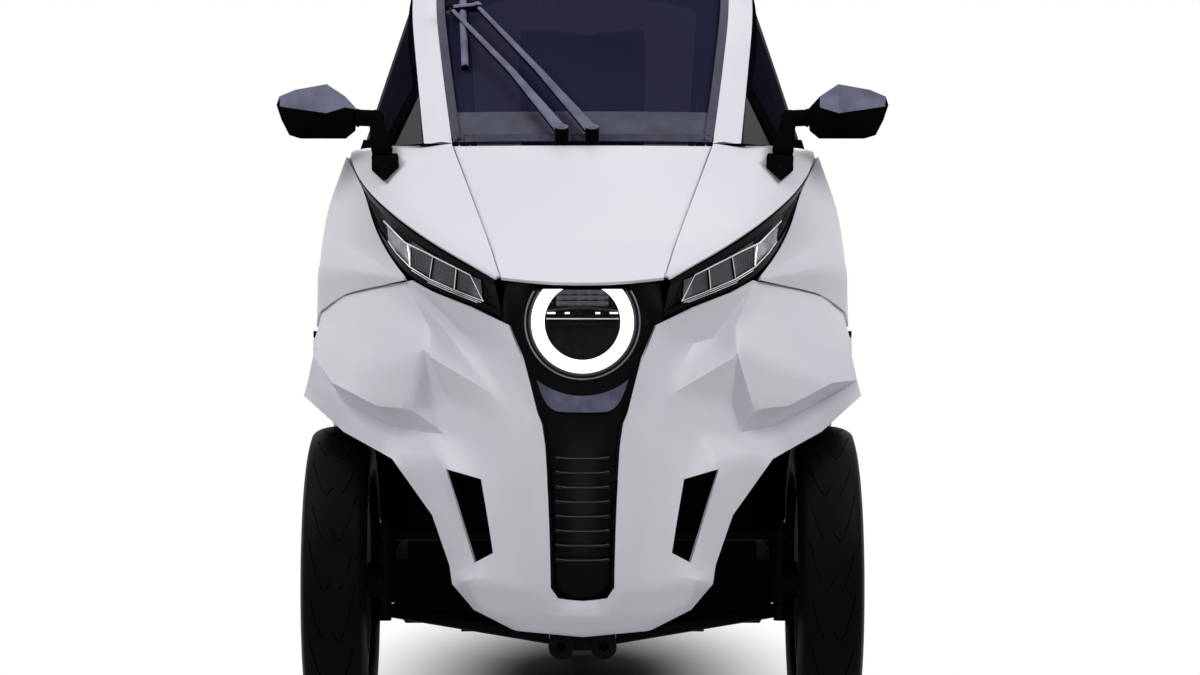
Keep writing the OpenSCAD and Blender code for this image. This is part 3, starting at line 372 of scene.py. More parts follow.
@dataclass(frozen=True)
class SeatCloth:
    """Woven cloth of two crossed thread patterns; unit_wave is a wave's length at a scale of 1."""

    name: str
    colour: Colour
    thread: float = 2.2 * MM
    unit_wave: float = 0.314
    unevenness: float = 0.4
    contrast: Pair = (0.6, 1.3)
    weave_span: Pair = (0.0, 0.8)
    weave_depth: float = 0.6 * MM
    weave_strength: float = 0.5
    roughness: float = 0.9
    sheen: float = 0.3

    def material(self) -> bpy.types.Material:
        """Builds the material.

        Returns:
            The new material.
        """
        sheet = NodeSheet(self.name)
        weave = sheet.add("ShaderNodeMath", operation="MULTIPLY")
        for number, direction in enumerate(("X", "Z")):
            wave = sheet.add("ShaderNodeTexWave", bands_direction=direction)
            wave.inputs["Scale"].default_value = self.unit_wave / self.thread
            wave.inputs["Distortion"].default_value = self.unevenness
            sheet.link(sheet.place, "Object", wave, "Vector")
            sheet.link(wave, "Fac", weave, number)
        sheet.tint(weave, "Value", shades(self.colour, self.contrast), self.weave_span)
        sheet.set(roughness=self.roughness, sheen_weight=self.sheen)
        sheet.bump(weave, "Value", self.weave_depth, self.weave_strength)
        return sheet.material


Finish = PearlPaint | MouldedPlastic | CastMetal | Rubber | TintedGlass | LightGuide | SeatCloth

INK: Colour = (0.002, 0.002, 0.0028)
COAL: Colour = (0.002, 0.002, 0.0026)
RED: Colour = (0.24, 0.004, 0.006)

KNURLED = CastMetal("knurled_bezel", (0.16, 0.16, 0.18), 0.35, metallic=0.8)
# Bright metal for the lamps' reflectors and rims, also used for the headlamp's glints, which are painted
# highlights.
BRIGHT_METAL_AND_GLINT = CastMetal("bright_reflector_and_glint", (0.72, 0.72, 0.76), 0.22)
SMOKED_CHROME = CastMetal("smoked_chrome", (0.10, 0.10, 0.115), 0.3, metallic=0.9)
# Slate plastic for the headlamp's collar and arch, also used for the nose slats' painted edge highlights.
SLATE_TRIM_AND_HIGHLIGHT = MouldedPlastic("slate_collar_and_highlight", (0.05, 0.052, 0.066), 0.4, 500.0, 0.2 * MM)
CHIN_SLATE = MouldedPlastic("chin_slate", (0.085, 0.088, 0.13), 0.5, 40.0, 0.05 * MM, gloss=0.1)
# Slate painted on the upper faces of the mirror heads and the wiper, a painted highlight; their lower faces
# are black.
SLATE_TOP_HIGHLIGHT = MouldedPlastic("slate_top_highlight", (0.12, 0.125, 0.185), 0.42, 22.0, 0.02 * MM, gloss=0.1)
PRINTED_BAND = MouldedPlastic("printed_band", (0.05, 0.052, 0.082), 0.3, 22.0, 0.02 * MM, gloss=0.1)
DARK_LINING = MouldedPlastic("dark_lining", (0.003, 0.003, 0.004), 0.9, 700.0, 0.2 * MM, gloss=0.0)
SIDE_GLASS = TintedGlass("side_glass", (0.008, 0.008, 0.016), cover=0.8, roughness=0.2)


class Palette:
    """The car's finishes, each built once."""

    BY_SLOT: dict[str, Finish] = {
        "white_paint": PearlPaint("pearl_white", (0.72, 0.72, 0.765), (0.66, 0.66, 0.715)),
        "gloss_black": MouldedPlastic("gloss_black", INK, 0.25, 60.0, 0.03 * MM, gloss=0.04),
        "black_plastic": MouldedPlastic("grained_black", COAL, 0.6, 900.0, 0.3 * MM, gloss=0.02),
        "dark_trim": MouldedPlastic("dark_trim", (0.02, 0.02, 0.027), 0.6, 700.0, 0.4 * MM, gloss=0.08),
        "red_lens": MouldedPlastic("red_lens", RED, 0.25, 90.0, 0.2 * MM, gloss=0.1, coat=0.1),
        "black_metal": CastMetal("black_coat", COAL, 0.5, metallic=0.0, gloss=0.03),
        "dark_metal": CastMetal("dark_cast", (0.03, 0.03, 0.035), 0.5, metallic=0.5),
        "alloy": CastMetal("dark_alloy", (0.05, 0.05, 0.056), 0.35, metallic=0.8),
        "tyre": Rubber("tyre_rubber", (0.0018, 0.0018, 0.0022)),
        "glass": TintedGlass("cabin_glass", (0.02, 0.021, 0.048), cover=0.72, roughness=0.2),
        "lamp_glass": TintedGlass("lamp_lens", (0.004, 0.004, 0.005), cover=0.22, roughness=0.05, gloss=0.04),
        "lamp_ring": LightGuide("light_ring", (0.96, 0.97, 1.0), glow=1.3),
        "seat_cloth": SeatCloth("seat_cloth", (0.045, 0.045, 0.066)),
    }

    def __init__(self) -> None:
        """Starts with nothing built."""
        self.built: dict[str, bpy.types.Material] = {}

    def get(self, finish: Finish) -> bpy.types.Material:
        """Gives the material of a finish, built at first use.

        Args:
            finish: The finish.

        Returns:
            Its material.
        """
        if finish.name not in self.built:
            self.built[finish.name] = finish.material()
        return self.built[finish.name]


class Workshop:
    """Turns bmeshes into finished pieces that ride on a body."""

    def __init__(self) -> None:
        """Starts with a fresh palette."""
        self.palette = Palette()

    def piece(
        self, name: str, bm: bmesh.types.BMesh, body: str, slot: str, finish: Finish | None = None,
        replaced: Sequence[str] = (),
    ) -> bpy.types.Object:
        """Makes an object from a bmesh, dresses it and hangs it on its body.

        Args:
            name: Name of the piece.
            bm: Its mesh, in metres in the shared frame; freed here.
            body: Body that carries the piece.
            slot: Record's material slot.
            finish: A finish other than the slot's own.
            replaced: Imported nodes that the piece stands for.

        Returns:
            The new object.
        """
        mesh = bpy.data.meshes.new(name)
        bm.to_mesh(mesh)
        bm.free()
        obj = bpy.data.objects.new(name, mesh)
        bpy.context.scene.collection.objects.link(obj)
        mesh.materials.append(self.palette.get(finish or Palette.BY_SLOT[slot]))
        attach(obj, body)
        if replaced:
            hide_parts(*replaced)
        LOG.info("%s rides on %s, %d faces", name, body, len(mesh.polygons))
        return obj


def merged_copy(node: str, reach: float = 0.02 * MM) -> bmesh.types.BMesh:
    """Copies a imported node's mesh with its doubles merged.

    Args:
        node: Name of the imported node.
        reach: Distance within which points are one.

    Returns:
        The copy.
    """
    bm = bmesh.new()
    bm.from_mesh(frame["nodes"][node].data)
    bmesh.ops.remove_doubles(bm, verts=bm.verts[:], dist=reach)
    return bm


def smoothed(bm: bmesh.types.BMesh, sharp_from: float = 40.0) -> bmesh.types.BMesh:
    """Shades a mesh smooth, with sharp edges where it bends.

    Args:
        bm: The mesh.
        sharp_from: Angle in degrees from which an edge is sharp.

    Returns:
        The same mesh.
    """
    for face in bm.faces:
        face.smooth = True
    for edge in bm.edges:
        edge.smooth = len(edge.link_faces) == 2 and edge.calc_face_angle(0.0) < math.radians(sharp_from)
    return bm


def faced_outwards(bm: bmesh.types.BMesh) -> None:
    """Turns all faces of a mesh outwards."""
    bmesh.ops.recalc_face_normals(bm, faces=bm.faces[:])


def rounded(bm: bmesh.types.BMesh, width: float) -> None:
    """Bevels every edge of a mesh."""
    edges = bm.edges[:]
    bmesh.ops.bevel(bm, geom=edges, offset=width, affect="EDGES", segments=2, profile=0.5, material=-1)


def doubled_across(bm: bmesh.types.BMesh) -> None:
    """Adds the mirror image of a mesh on the car's other side.

    Args:
        bm: Mesh of one side.
    """
    copy = bmesh.ops.duplicate(bm, geom=bm.verts[:] + bm.edges[:] + bm.faces[:])["geom"]
    verts = [item for item in copy if isinstance(item, bmesh.types.BMVert)]
    bmesh.ops.scale(bm, vec=(-1.0, 1.0, 1.0), verts=verts)
    bmesh.ops.reverse_faces(bm, faces=[item for item in copy if isinstance(item, bmesh.types.BMFace)])


def swept(bm: bmesh.types.BMesh, path: Sequence[Vector], radius: float, sides: int = 8) -> None:
    """Sweeps a round section along a path, with closed ends.

    Args:
        bm: Mesh that takes the sweep.
        path: Points of the path, in metres.
        radius: Radius of the section.
        sides: Sides of the section.
    """
    frames = []
    for i, point in enumerate(path):
        along = path[min(i + 1, len(path) - 1)] - path[max(i - 1, 0)]
        turn = along.to_track_quat("Z", "Y").to_matrix().to_4x4()
        frames.append(Matrix.Translation(point) @ turn @ Matrix.Scale(radius, 4))
    first = bmesh.ops.create_circle(bm, cap_ends=True, segments=sides, radius=1.0, matrix=frames[0])
    edges = list({edge for vert in first["verts"] for edge in vert.link_edges})
    for before, after in zip(frames, frames[1:]):
        grown = bmesh.ops.extrude_edge_only(bm, edges=edges)["geom"]
        verts = [item for item in grown if isinstance(item, bmesh.types.BMVert)]
        edges = [item for item in grown if isinstance(item, bmesh.types.BMEdge) and item.is_boundary]
        bmesh.ops.transform(bm, matrix=after @ before.inverted(), verts=verts)
    bmesh.ops.edgeloop_fill(bm, edges=edges)
    faced_outwards(bm)


def boxed(bm: bmesh.types.BMesh, centre: Vector, size: Point) -> None:
    """Adds a box to a mesh, by its middle and its three sides in metres."""
    bmesh.ops.create_cube(bm, size=1.0, matrix=Matrix.Translation(centre) @ Matrix.Diagonal((*size, 1.0)))


def mesh_grid(
    bm: bmesh.types.BMesh, columns: int, rows: int, place: Callable[[int, int], Vector]
) -> list[bmesh.types.BMFace]:
    """Lays a grid and moves each of its points.

    Args:
        bm: Mesh that takes the grid.
        columns: Cells along the first direction.
        rows: Cells along the second direction.
        place: Gives the place of the point at a column and a row.

    Returns:
        The grid's faces.
    """
    known = len(bm.faces)
    grid = bmesh.ops.create_grid(bm, x_segments=columns, y_segments=rows, size=1.0)
    for vert in grid["verts"]:
        column = round((vert.co.x + 1.0) / 2.0 * columns)
        row = round((vert.co.y + 1.0) / 2.0 * rows)
        vert.co = place(column, row)
    bm.faces.ensure_lookup_table()
    return bm.faces[known:]


def bezier(points: Sequence[Pair], t: float) -> Pair:
    """Gives the point of a curve at a share of its run.

    Args:
        points: Control points.
        t: Share from 0 to 1.

    Returns:
        The point on the curve.
    """
    while len(points) > 1:
        points = [(a[0] + t * (b[0] - a[0]), a[1] + t * (b[1] - a[1])) for a, b in zip(points, points[1:])]
    return points[0]


def middle_of(node: str) -> Vector:
    """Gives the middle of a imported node's box."""
    low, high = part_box(node)
    return (Vector(low) + Vector(high)) / 2


class Skin:
    """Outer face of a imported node, as met by a look from the front."""

    LOOK_FROM_Y = -3.0
    NOSE_Y = -1.2

    def __init__(self, node: str) -> None:
        """Keeps the node's mesh for looks at it.

        Args:
            node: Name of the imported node.
        """
        bm = merged_copy(node)
        self.tree = BVHTree.FromBMesh(bm)
        bm.free()

    def at(self, x: float, z: float, lift: float = 0.0) -> Vector:
        """Finds the point at x and z, lifted square to the face.

        Args:
            x: Place across the car, in metres.
            z: Height, in metres.
            lift: Distance off the face.

        Returns:
            The point.
        """
        spot, normal, _, _ = self.tree.ray_cast(Vector((x, self.LOOK_FROM_Y, z)), Vector((0.0, 1.0, 0.0)))
        if spot is None:
            spot, normal, _, _ = self.tree.find_nearest(Vector((x, self.NOSE_Y, z)))
        return spot + normal * lift


@dataclass
class SmoothNode:
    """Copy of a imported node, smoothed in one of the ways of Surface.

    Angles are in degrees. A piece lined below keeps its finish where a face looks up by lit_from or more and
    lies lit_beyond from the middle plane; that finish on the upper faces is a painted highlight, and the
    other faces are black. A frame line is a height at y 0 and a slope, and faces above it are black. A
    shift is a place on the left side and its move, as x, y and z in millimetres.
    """

    shop: Workshop
    node: str
    surface: Surface
    finish: Finish | None = None
    rounding: float = 1.2 * MM
    round_from: float = 48.0
    levels: int = 2
    soft_below: float = 14.0
    hard_above: float = 42.0
    shade_sharp_from: float = 55.0
    quad_bend: float = 50.0
    quad_skew: float = 170.0
    flat_within: float = 0.5
    sharp_from: float = 32.0
    lining: Lining | None = None
    lining_core: Point = (0.0, 0.0, 0.7)
    lit_from: float = 0.25
    lit_beyond: float = 0.0
    frame_line: Pair | None = None
    shifts: Sequence[tuple[Point, Point]] = ()
    shift_reach: float = 9 * MM

    def build(self) -> bpy.types.Object:
        """Builds the piece and lets it stand for its node.

        Returns:
            The dressed piece.
        """
        bm = merged_copy(self.node)
        self.shift(bm)
        if self.surface is Surface.PANEL:
            self.to_quads(bm)
            self.crease(bm)
        else:
            flat = math.radians(self.flat_within)
            bmesh.ops.dissolve_limit(bm, angle_limit=flat, verts=bm.verts[:], edges=bm.edges[:])
            smoothed(bm, self.sharp_from)
        if self.lining:
            self.line(bm)
        body, slot = body_of_node(self.node), slot_of_node(self.node)
        obj = self.shop.piece(f"{self.node}_skin", bm, body, slot, self.finish, (self.node,))
        if self.lining:
            obj.data.materials.append(self.shop.palette.get(DARK_LINING))
        if self.surface is Surface.PANEL:
            self.add_subdivision(obj)
        if self.surface is not Surface.TURNED:
            self.add_bevel(obj)
        return obj

    def shift(self, bm: bmesh.types.BMesh) -> None:
        """Moves the points near each shift's place, on both sides.

        Args:
            bm: The copied mesh.
        """
        for place, move in self.shifts:
            for side in (-1, 1):
                spot = Vector((side * place[0], place[1], place[2])) * MM
                near = [vert for vert in bm.verts if (vert.co - spot).length < self.shift_reach]
                bmesh.ops.translate(bm, verts=near, vec=Vector((side * move[0], move[1], move[2])) * MM)

    def line(self, bm: bmesh.types.BMesh) -> None:
        """Gives the black second finish to inner or lower faces, and to those above a window's frame line.

        Args:
            bm: The copied mesh.
        """
        for face in bm.faces:
            middle = face.calc_center_median()
            if self.lining is Lining.INNER:
                black = face.normal.dot(middle - Vector(self.lining_core)) < 0.0
            else:
                black = face.normal.z < self.lit_from or abs(middle.x) < self.lit_beyond
            if self.frame_line:
                level, slope = self.frame_line
                black = black or middle.z > level + slope * middle.y
            face.material_index = int(black)

    def to_quads(self, bm: bmesh.types.BMesh) -> None:
        """Joins the triangles into the quads that the panel was drawn with."""
        bend, skew = math.radians(self.quad_bend), math.radians(self.quad_skew)
        bmesh.ops.join_triangles(bm, faces=bm.faces[:], angle_face_threshold=bend, angle_shape_threshold=skew)

    def crease(self, bm: bmesh.types.BMesh) -> None:
        """Creases each edge by how far its faces bend, so that soft edges flow and hard ones stay.

        Args:
            bm: The copied mesh.
        """
        layer = bm.edges.layers.float.get("crease_edge") or bm.edges.layers.float.new("crease_edge")
        for face in bm.faces:
            face.smooth = True
        for edge in bm.edges:
            angle = math.degrees(edge.calc_face_angle(0.0)) if len(edge.link_faces) == 2 else 90.0
            share = (angle - self.soft_below) / (self.hard_above - self.soft_below)
            edge[layer] = min(1.0, max(0.0, share))
            edge.smooth = angle < self.shade_sharp_from

    def add_subdivision(self, obj: bpy.types.Object) -> None:
        """Adds the subdivision that rounds the panel.

        Args:
            obj: The piece.
        """
        modifier = obj.modifiers.new("flow", "SUBSURF")
        modifier.levels = self.levels
        modifier.render_levels = self.levels

    def add_bevel(self, obj: bpy.types.Object) -> None:
        """Adds a fine rounding along the hard edges.

        Args:
            obj: The piece.
        """
        modifier = obj.modifiers.new("edge", "BEVEL")
        modifier.limit_method = "ANGLE"
        modifier.angle_limit = math.radians(self.round_from)
        modifier.width = self.rounding
        modifier.segments = 2


@dataclass
class TreadedTyre:
    """Round tyre with sparse hooked grooves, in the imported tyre's section.

    A crown share is 1 at the shoulder and 0 on the middle plane, and OFF_CROWN below the shoulder.
    """

    shop: Workshop
    node: str
    half: float = 56 * MM
    side_height: float = 97 * MM
    bead_half: float = 42 * MM
    bead_rise: float = 14 * MM
    low_bulge: float = 5 * MM
    high_bulge: float = 3 * MM
    high_bulge_drop: float = 42 * MM
    shoulder_drop: float = 14 * MM
    shoulder_in: float = 7 * MM
    crown_drop: float = 3 * MM
    crown_in: float = 16 * MM
    crown_rows: int = 20
    wall_rows: int = 9
    pitches: int = 10
    groove_depth: float = 2.2 * MM
    groove_half: float = 1.0 * MM
    groove_wall: float = 0.5 * MM
    hook_reach: float = 17 * MM
    arc_reach: float = 92 * MM
    arc_power: float = 1.5
    hook_at: float = 0.2
    long_groove: Pair = (0.05, 0.74)
    short_groove: Pair = (0.28, 0.62)
    plain_shares: tuple[float, ...] = (0.22, 0.36, 0.5, 0.64, 0.78)
    merge_reach: float = 0.005 * MM
    sharp_from: float = 34.0
    middle: Vector = field(init=False)
    radius: float = field(init=False)
    section: list[tuple[float, float, float]] = field(init=False)

    OFF_CROWN = 2.0
    GROOVE_EDGES = 4

    def __post_init__(self) -> None:
        """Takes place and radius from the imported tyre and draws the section."""
        self.middle = middle_of(self.node)
        self.radius = self.middle.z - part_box(self.node)[0][2]
        self.section = self.half_section(1) + list(reversed(self.half_section(-1)))[1:]

    def build(self) -> bpy.types.Object:
        """Builds the tyre in place of its node.

        Returns:
            The dressed tyre.
        """
        bm = bmesh.new()
        mesh_grid(bm, 2 * self.pitches * self.slots(), len(self.section), self.place)
        bmesh.ops.remove_doubles(bm, verts=bm.verts[:], dist=self.merge_reach)
        faced_outwards(bm)
        smoothed(bm, self.sharp_from)
        name, body = f"{self.node}_treaded", body_of_node(self.node)
        return self.shop.piece(name, bm, body, "tyre", None, (self.node,))

    def slots(self) -> int:
        """Counts the columns from one groove to the next."""
        return self.GROOVE_EDGES + len(self.plain_shares)

    def half_section(self, side: int) -> list[tuple[float, float, float]]:
        """Lists one half of the section from the bead to the crown.

        Args:
            side: 1 or -1.

        Returns:
            Distance from the middle plane, radius and crown share of each point.
        """
        rim = self.radius - self.side_height
        shoulder = (self.radius - self.shoulder_drop, self.half - self.shoulder_in)
        wall = [
            (rim, self.bead_half),
            (rim + self.bead_rise, self.half + self.low_bulge),
            (self.radius - self.high_bulge_drop, self.half + self.high_bulge),
            shoulder,
        ]
        crown = [
            shoulder,
            (self.radius - self.crown_drop, self.half - self.crown_in),
            (self.radius, self.half / 3),
            (self.radius, 0.0),
        ]
        points = [(*bezier(wall, i / self.wall_rows), self.OFF_CROWN) for i in range(self.wall_rows)]
        shares = [i / self.crown_rows for i in range(self.crown_rows + 1)]
        points += [(*bezier(crown, share), 1 - share) for share in shares]
        return [(side * x, radius, share) for radius, x, share in points]

    def drift(self, share: float) -> float:
        """Gives how far a groove has run round the tyre, from hook to shoulder.

        Args:
            share: Crown share.

        Returns:
            Run in metres.
        """
        if share < self.hook_at:
            return self.hook_reach * (1 - share / self.hook_at)
        run = min(1.0, (share - self.hook_at) / (self.long_groove[1] - self.hook_at))
        return self.arc_reach * run ** self.arc_power

    def half_width(self, share: float, step: float = 0.01) -> float:
        """Gives half a groove's width round the tyre, so that its square width stays the same.

        Args:
            share: Crown share.
            step: Step over which the groove's slope is taken.

        Returns:
            Half the width in metres.
        """
        slope = (self.drift(share + step) - self.drift(share - step)) / (2 * step * self.half)
        return self.groove_half * math.sqrt(1 + slope * slope)

    def place(self, column: int, row: int) -> Vector:
        """Places a point of the grid on the tyre or in a groove.

        Args:
            column: Column round the tyre.
            row: Row round the section.

        Returns:
            The point in the shared frame.
        """
        x, radius, share = self.section[row % len(self.section)]
        slot, part = divmod(column, self.slots())
        slot %= 2 * self.pitches
        pitch = math.pi * self.radius / self.pitches
        near = min(share, 1.0)
        half = self.half_width(near)
        edges = (-half - self.groove_wall, -half, half, half + self.groove_wall)
        plain = tuple(pitch * part_share for part_share in self.plain_shares)
        long = (slot % 2 == 0) == (x >= 0)
        first, last = self.long_groove if long else self.short_groove
        if part in (1, 2) and first <= share <= last:
            radius -= self.groove_depth
        angle = (slot * pitch + (edges + plain)[part] + self.drift(near)) / self.radius
        return self.middle + Vector((x, radius * math.sin(angle), radius * math.cos(angle)))


@dataclass
class WheelTrim:
    """Bolts and centre cap on the outer face of a wheel's hub."""

    shop: Workshop
    rim: str
    outward: int
    hub_face: float = 42 * MM
    bolts: int = 5
    bolt_sides: int = 6
    bolt_circle: float = 24 * MM
    bolt_radii: Pair = (6 * MM, 5.4 * MM)
    bolt_height: float = 7 * MM
    bolt_lift: float = 3 * MM
    cap_sides: int = 32
    cap_radii: Pair = (15 * MM, 12 * MM)
    cap_height: float = 8 * MM
    cap_lift: float = 3.5 * MM
    edge: float = 0.7 * MM

    def build(self) -> bpy.types.Object:
        """Builds the bolts and the cap as one piece.

        Returns:
            The dressed piece.
        """
        hub = middle_of(self.rim) + Vector((self.outward * self.hub_face, 0.0, 0.0))
        face = Matrix.Translation(hub) @ Matrix.Rotation(math.radians(90 * self.outward), 4, "Y")
        bm = bmesh.new()
        for i in range(self.bolts):
            turn = Matrix.Rotation(2 * math.pi * i / self.bolts, 4, "Z")
            spot = face @ turn @ Matrix.Translation((self.bolt_circle, 0.0, self.bolt_lift))
            self.add_stud(bm, self.bolt_sides, self.bolt_radii, self.bolt_height, spot)
        spot = face @ Matrix.Translation((0.0, 0.0, self.cap_lift))
        self.add_stud(bm, self.cap_sides, self.cap_radii, self.cap_height, spot)
        rounded(bm, self.edge)
        return self.shop.piece(f"{self.rim}_bolts", smoothed(bm), body_of_node(self.rim), "dark_metal")

    def add_stud(self, bm: bmesh.types.BMesh, sides: int, radii: Pair, height: float, spot: Matrix) -> None:
        """Adds one slightly tapered stud.

        Args:
            bm: Mesh that takes the stud.
            sides: Its sides.
            radii: Its radii at foot and top.
            height: Its height.
            spot: Its place.
        """
        low, top = radii
        bmesh.ops.create_cone(
            bm, cap_ends=True, segments=sides, radius1=low, radius2=top, depth=height, matrix=spot
        )


@dataclass
class RingLamp:
    """Inside and bezel of the round headlamp; a glint is its share of the bar's half and its length."""

    shop: Workshop
    centre: Point = (0.0, -1202 * MM, 733 * MM)
    cut_height: float = 55 * MM
    cut_clear: float = 3 * MM
    ring_forward: float = 1 * MM
    ring_merge: float = 0.01 * MM
    ring_sharp_from: float = 60.0
    bezel_r: float = 96 * MM
    bezel_wire: float = 1.5 * MM
    bezel_steps: int = 120
    collar_r: float = 89 * MM
    collar_wire: float = 1.7 * MM
    collar_steps: int = 96
    bar_half: float = 61 * MM
    bar_depth: float = 8 * MM
    bar_height: float = 9.5 * MM
    bar_drop: float = 2.5 * MM
    bar_back: float = 5 * MM
    bar_round: float = 1.2 * MM
    edge_z: float = 5.4 * MM
    edge_back: float = 2 * MM
    edge_wire: float = 1.1 * MM
    glint_z: float = 15 * MM
    glint_side: float = 3 * MM
    glints: tuple[Pair, ...] = ((0.86, 14 * MM), (0.42, 8 * MM))
    arch_z: float = 17 * MM
    arch_rise: float = 7 * MM
    arch_back: float = 7 * MM
    arch_wire: float = 2.2 * MM
    arch_shares: tuple[float, ...] = (-0.98, -0.7, -0.35, 0.0, 0.35, 0.7, 0.98)
    cells: int = 15
    cell_rows: int = 3
    bank_half: float = 44 * MM
    bank_span: Pair = (26 * MM, 54 * MM)
    bank_back: float = 9 * MM
    cell_wall: float = 0.7 * MM
    cell_least_area: float = 25 * MM * MM
    cell_depths: tuple[float, ...] = (4 * MM, 7 * MM, 10 * MM)

    def build(self) -> None:
        """Builds bezel, collar, bar, arch and reflector bank."""
        self.ring("headlamp_bezel", self.bezel_r, self.bezel_wire, self.bezel_steps, KNURLED)
        self.ring("headlamp_collar", self.collar_r, self.collar_wire, self.collar_steps, SLATE_TRIM_AND_HIGHLIGHT)
        self.bar()
        self.bar_edge()
        self.arch()
        self.reflector_bank()

    def spot(self, x: float, y: float, z: float) -> Vector:
        """Gives a point by its distances from the lamp's centre."""
        return Vector(self.centre) + Vector((x, y, z))

    def ring(self, name: str, radius: float, wire: float, steps: int, finish: Finish) -> None:
        """Spins a thin ring that stops below the level cut.

        Args:
            name: Name of the piece.
            radius: Radius of the ring.
            wire: Radius of its section.
            steps: Steps of the spin.
            finish: Its finish.
        """
        lift = math.asin(min(1.0, (self.cut_height - self.cut_clear) / radius))
        centre = self.spot(0.0, -self.ring_forward, 0.0)
        start = centre + Vector((radius * math.cos(lift), 0.0, radius * math.sin(lift)))
        matrix = Matrix.Translation(start) @ Matrix.Rotation(-lift, 4, "Y")
        bm = bmesh.new()
        section = bmesh.ops.create_circle(bm, cap_ends=True, segments=8, radius=wire, matrix=matrix)["verts"]
        geom = section + list({edge for vert in section for edge in vert.link_edges})
        bmesh.ops.spin(
            bm, geom=geom, cent=centre, axis=(0.0, 1.0, 0.0), dvec=(0.0, 0.0, 0.0),
            angle=math.pi + 2 * lift, steps=steps, use_duplicate=False,
        )
        bmesh.ops.remove_doubles(bm, verts=bm.verts[:], dist=self.ring_merge)
        faced_outwards(bm)
        self.shop.piece(name, smoothed(bm, self.ring_sharp_from), CHASSIS, "dark_metal", finish)

    def bar(self) -> None:
        """Builds the black bar across the lens."""
        bm = bmesh.new()
        centre = self.spot(0.0, self.bar_back, -self.bar_drop)
        boxed(bm, centre, (2 * self.bar_half, self.bar_depth, self.bar_height))
        rounded(bm, self.bar_round)
        self.shop.piece("headlamp_bar", smoothed(bm), CHASSIS, "gloss_black")

    def bar_edge(self) -> None:
        """Builds the bar's bright upper edge and the glints above it, bright boxes as painted highlights."""
        bm = bmesh.new()
        shares = (-1.0, -0.5, 0.0, 0.5, 1.0)
        swept(bm, [self.spot(x * self.bar_half, self.edge_back, self.edge_z) for x in shares], self.edge_wire)
        for side in (-1, 1):
            # The glints are painted highlights: small boxes of bright metal above the bar.
            for share, length in self.glints:
                centre = self.spot(side * share * self.bar_half, self.bar_back, self.glint_z)
                boxed(bm, centre, (length, self.glint_side, self.glint_side))
        self.shop.piece("headlamp_bar_edge", smoothed(bm), CHASSIS, "alloy", BRIGHT_METAL_AND_GLINT)

    def arch(self) -> None:
        """Builds the arched cap above the bar."""
        bm = bmesh.new()
        path = [
            self.spot(x * self.bar_half, self.arch_back, self.arch_z + self.arch_rise * (1 - x * x))
            for x in self.arch_shares
        ]
        swept(bm, path, self.arch_wire)
        self.shop.piece("headlamp_arch", smoothed(bm), CHASSIS, "dark_trim", SLATE_TRIM_AND_HIGHLIGHT)

    def reflector_bank(self) -> None:
        """Builds the bank of upright cells in the lens's upper part."""
        low, high = self.bank_span

        def place(i: int, j: int) -> Vector:
            """Places a corner of a cell by its column and row."""
            x = self.bank_half * (2 * i / self.cells - 1)
            return self.spot(x, self.bank_back, low + (high - low) * j / self.cell_rows)

        bm = bmesh.new()
        mesh_grid(bm, self.cells, self.cell_rows, place)
        bmesh.ops.inset_individual(bm, faces=bm.faces[:], thickness=self.cell_wall, depth=0.0)
        inner = [face for face in bm.faces if face.calc_area() > self.cell_least_area]
        grown = bmesh.ops.extrude_discrete_faces(bm, faces=inner)["faces"]
        for i, face in enumerate(grown):
            depth = self.cell_depths[i % len(self.cell_depths)]
            bmesh.ops.translate(bm, verts=face.verts[:], vec=(0.0, depth, 0.0))
        self.shop.piece("headlamp_reflectors", smoothed(bm), CHASSIS, "dark_trim", SMOKED_CHROME)


@dataclass(frozen=True)
class LampLine:
    """Bright line in a side lamp: its points as run and rise, its radius and its lift."""

    points: tuple[Pair, ...]
    radius: float
    lift: float


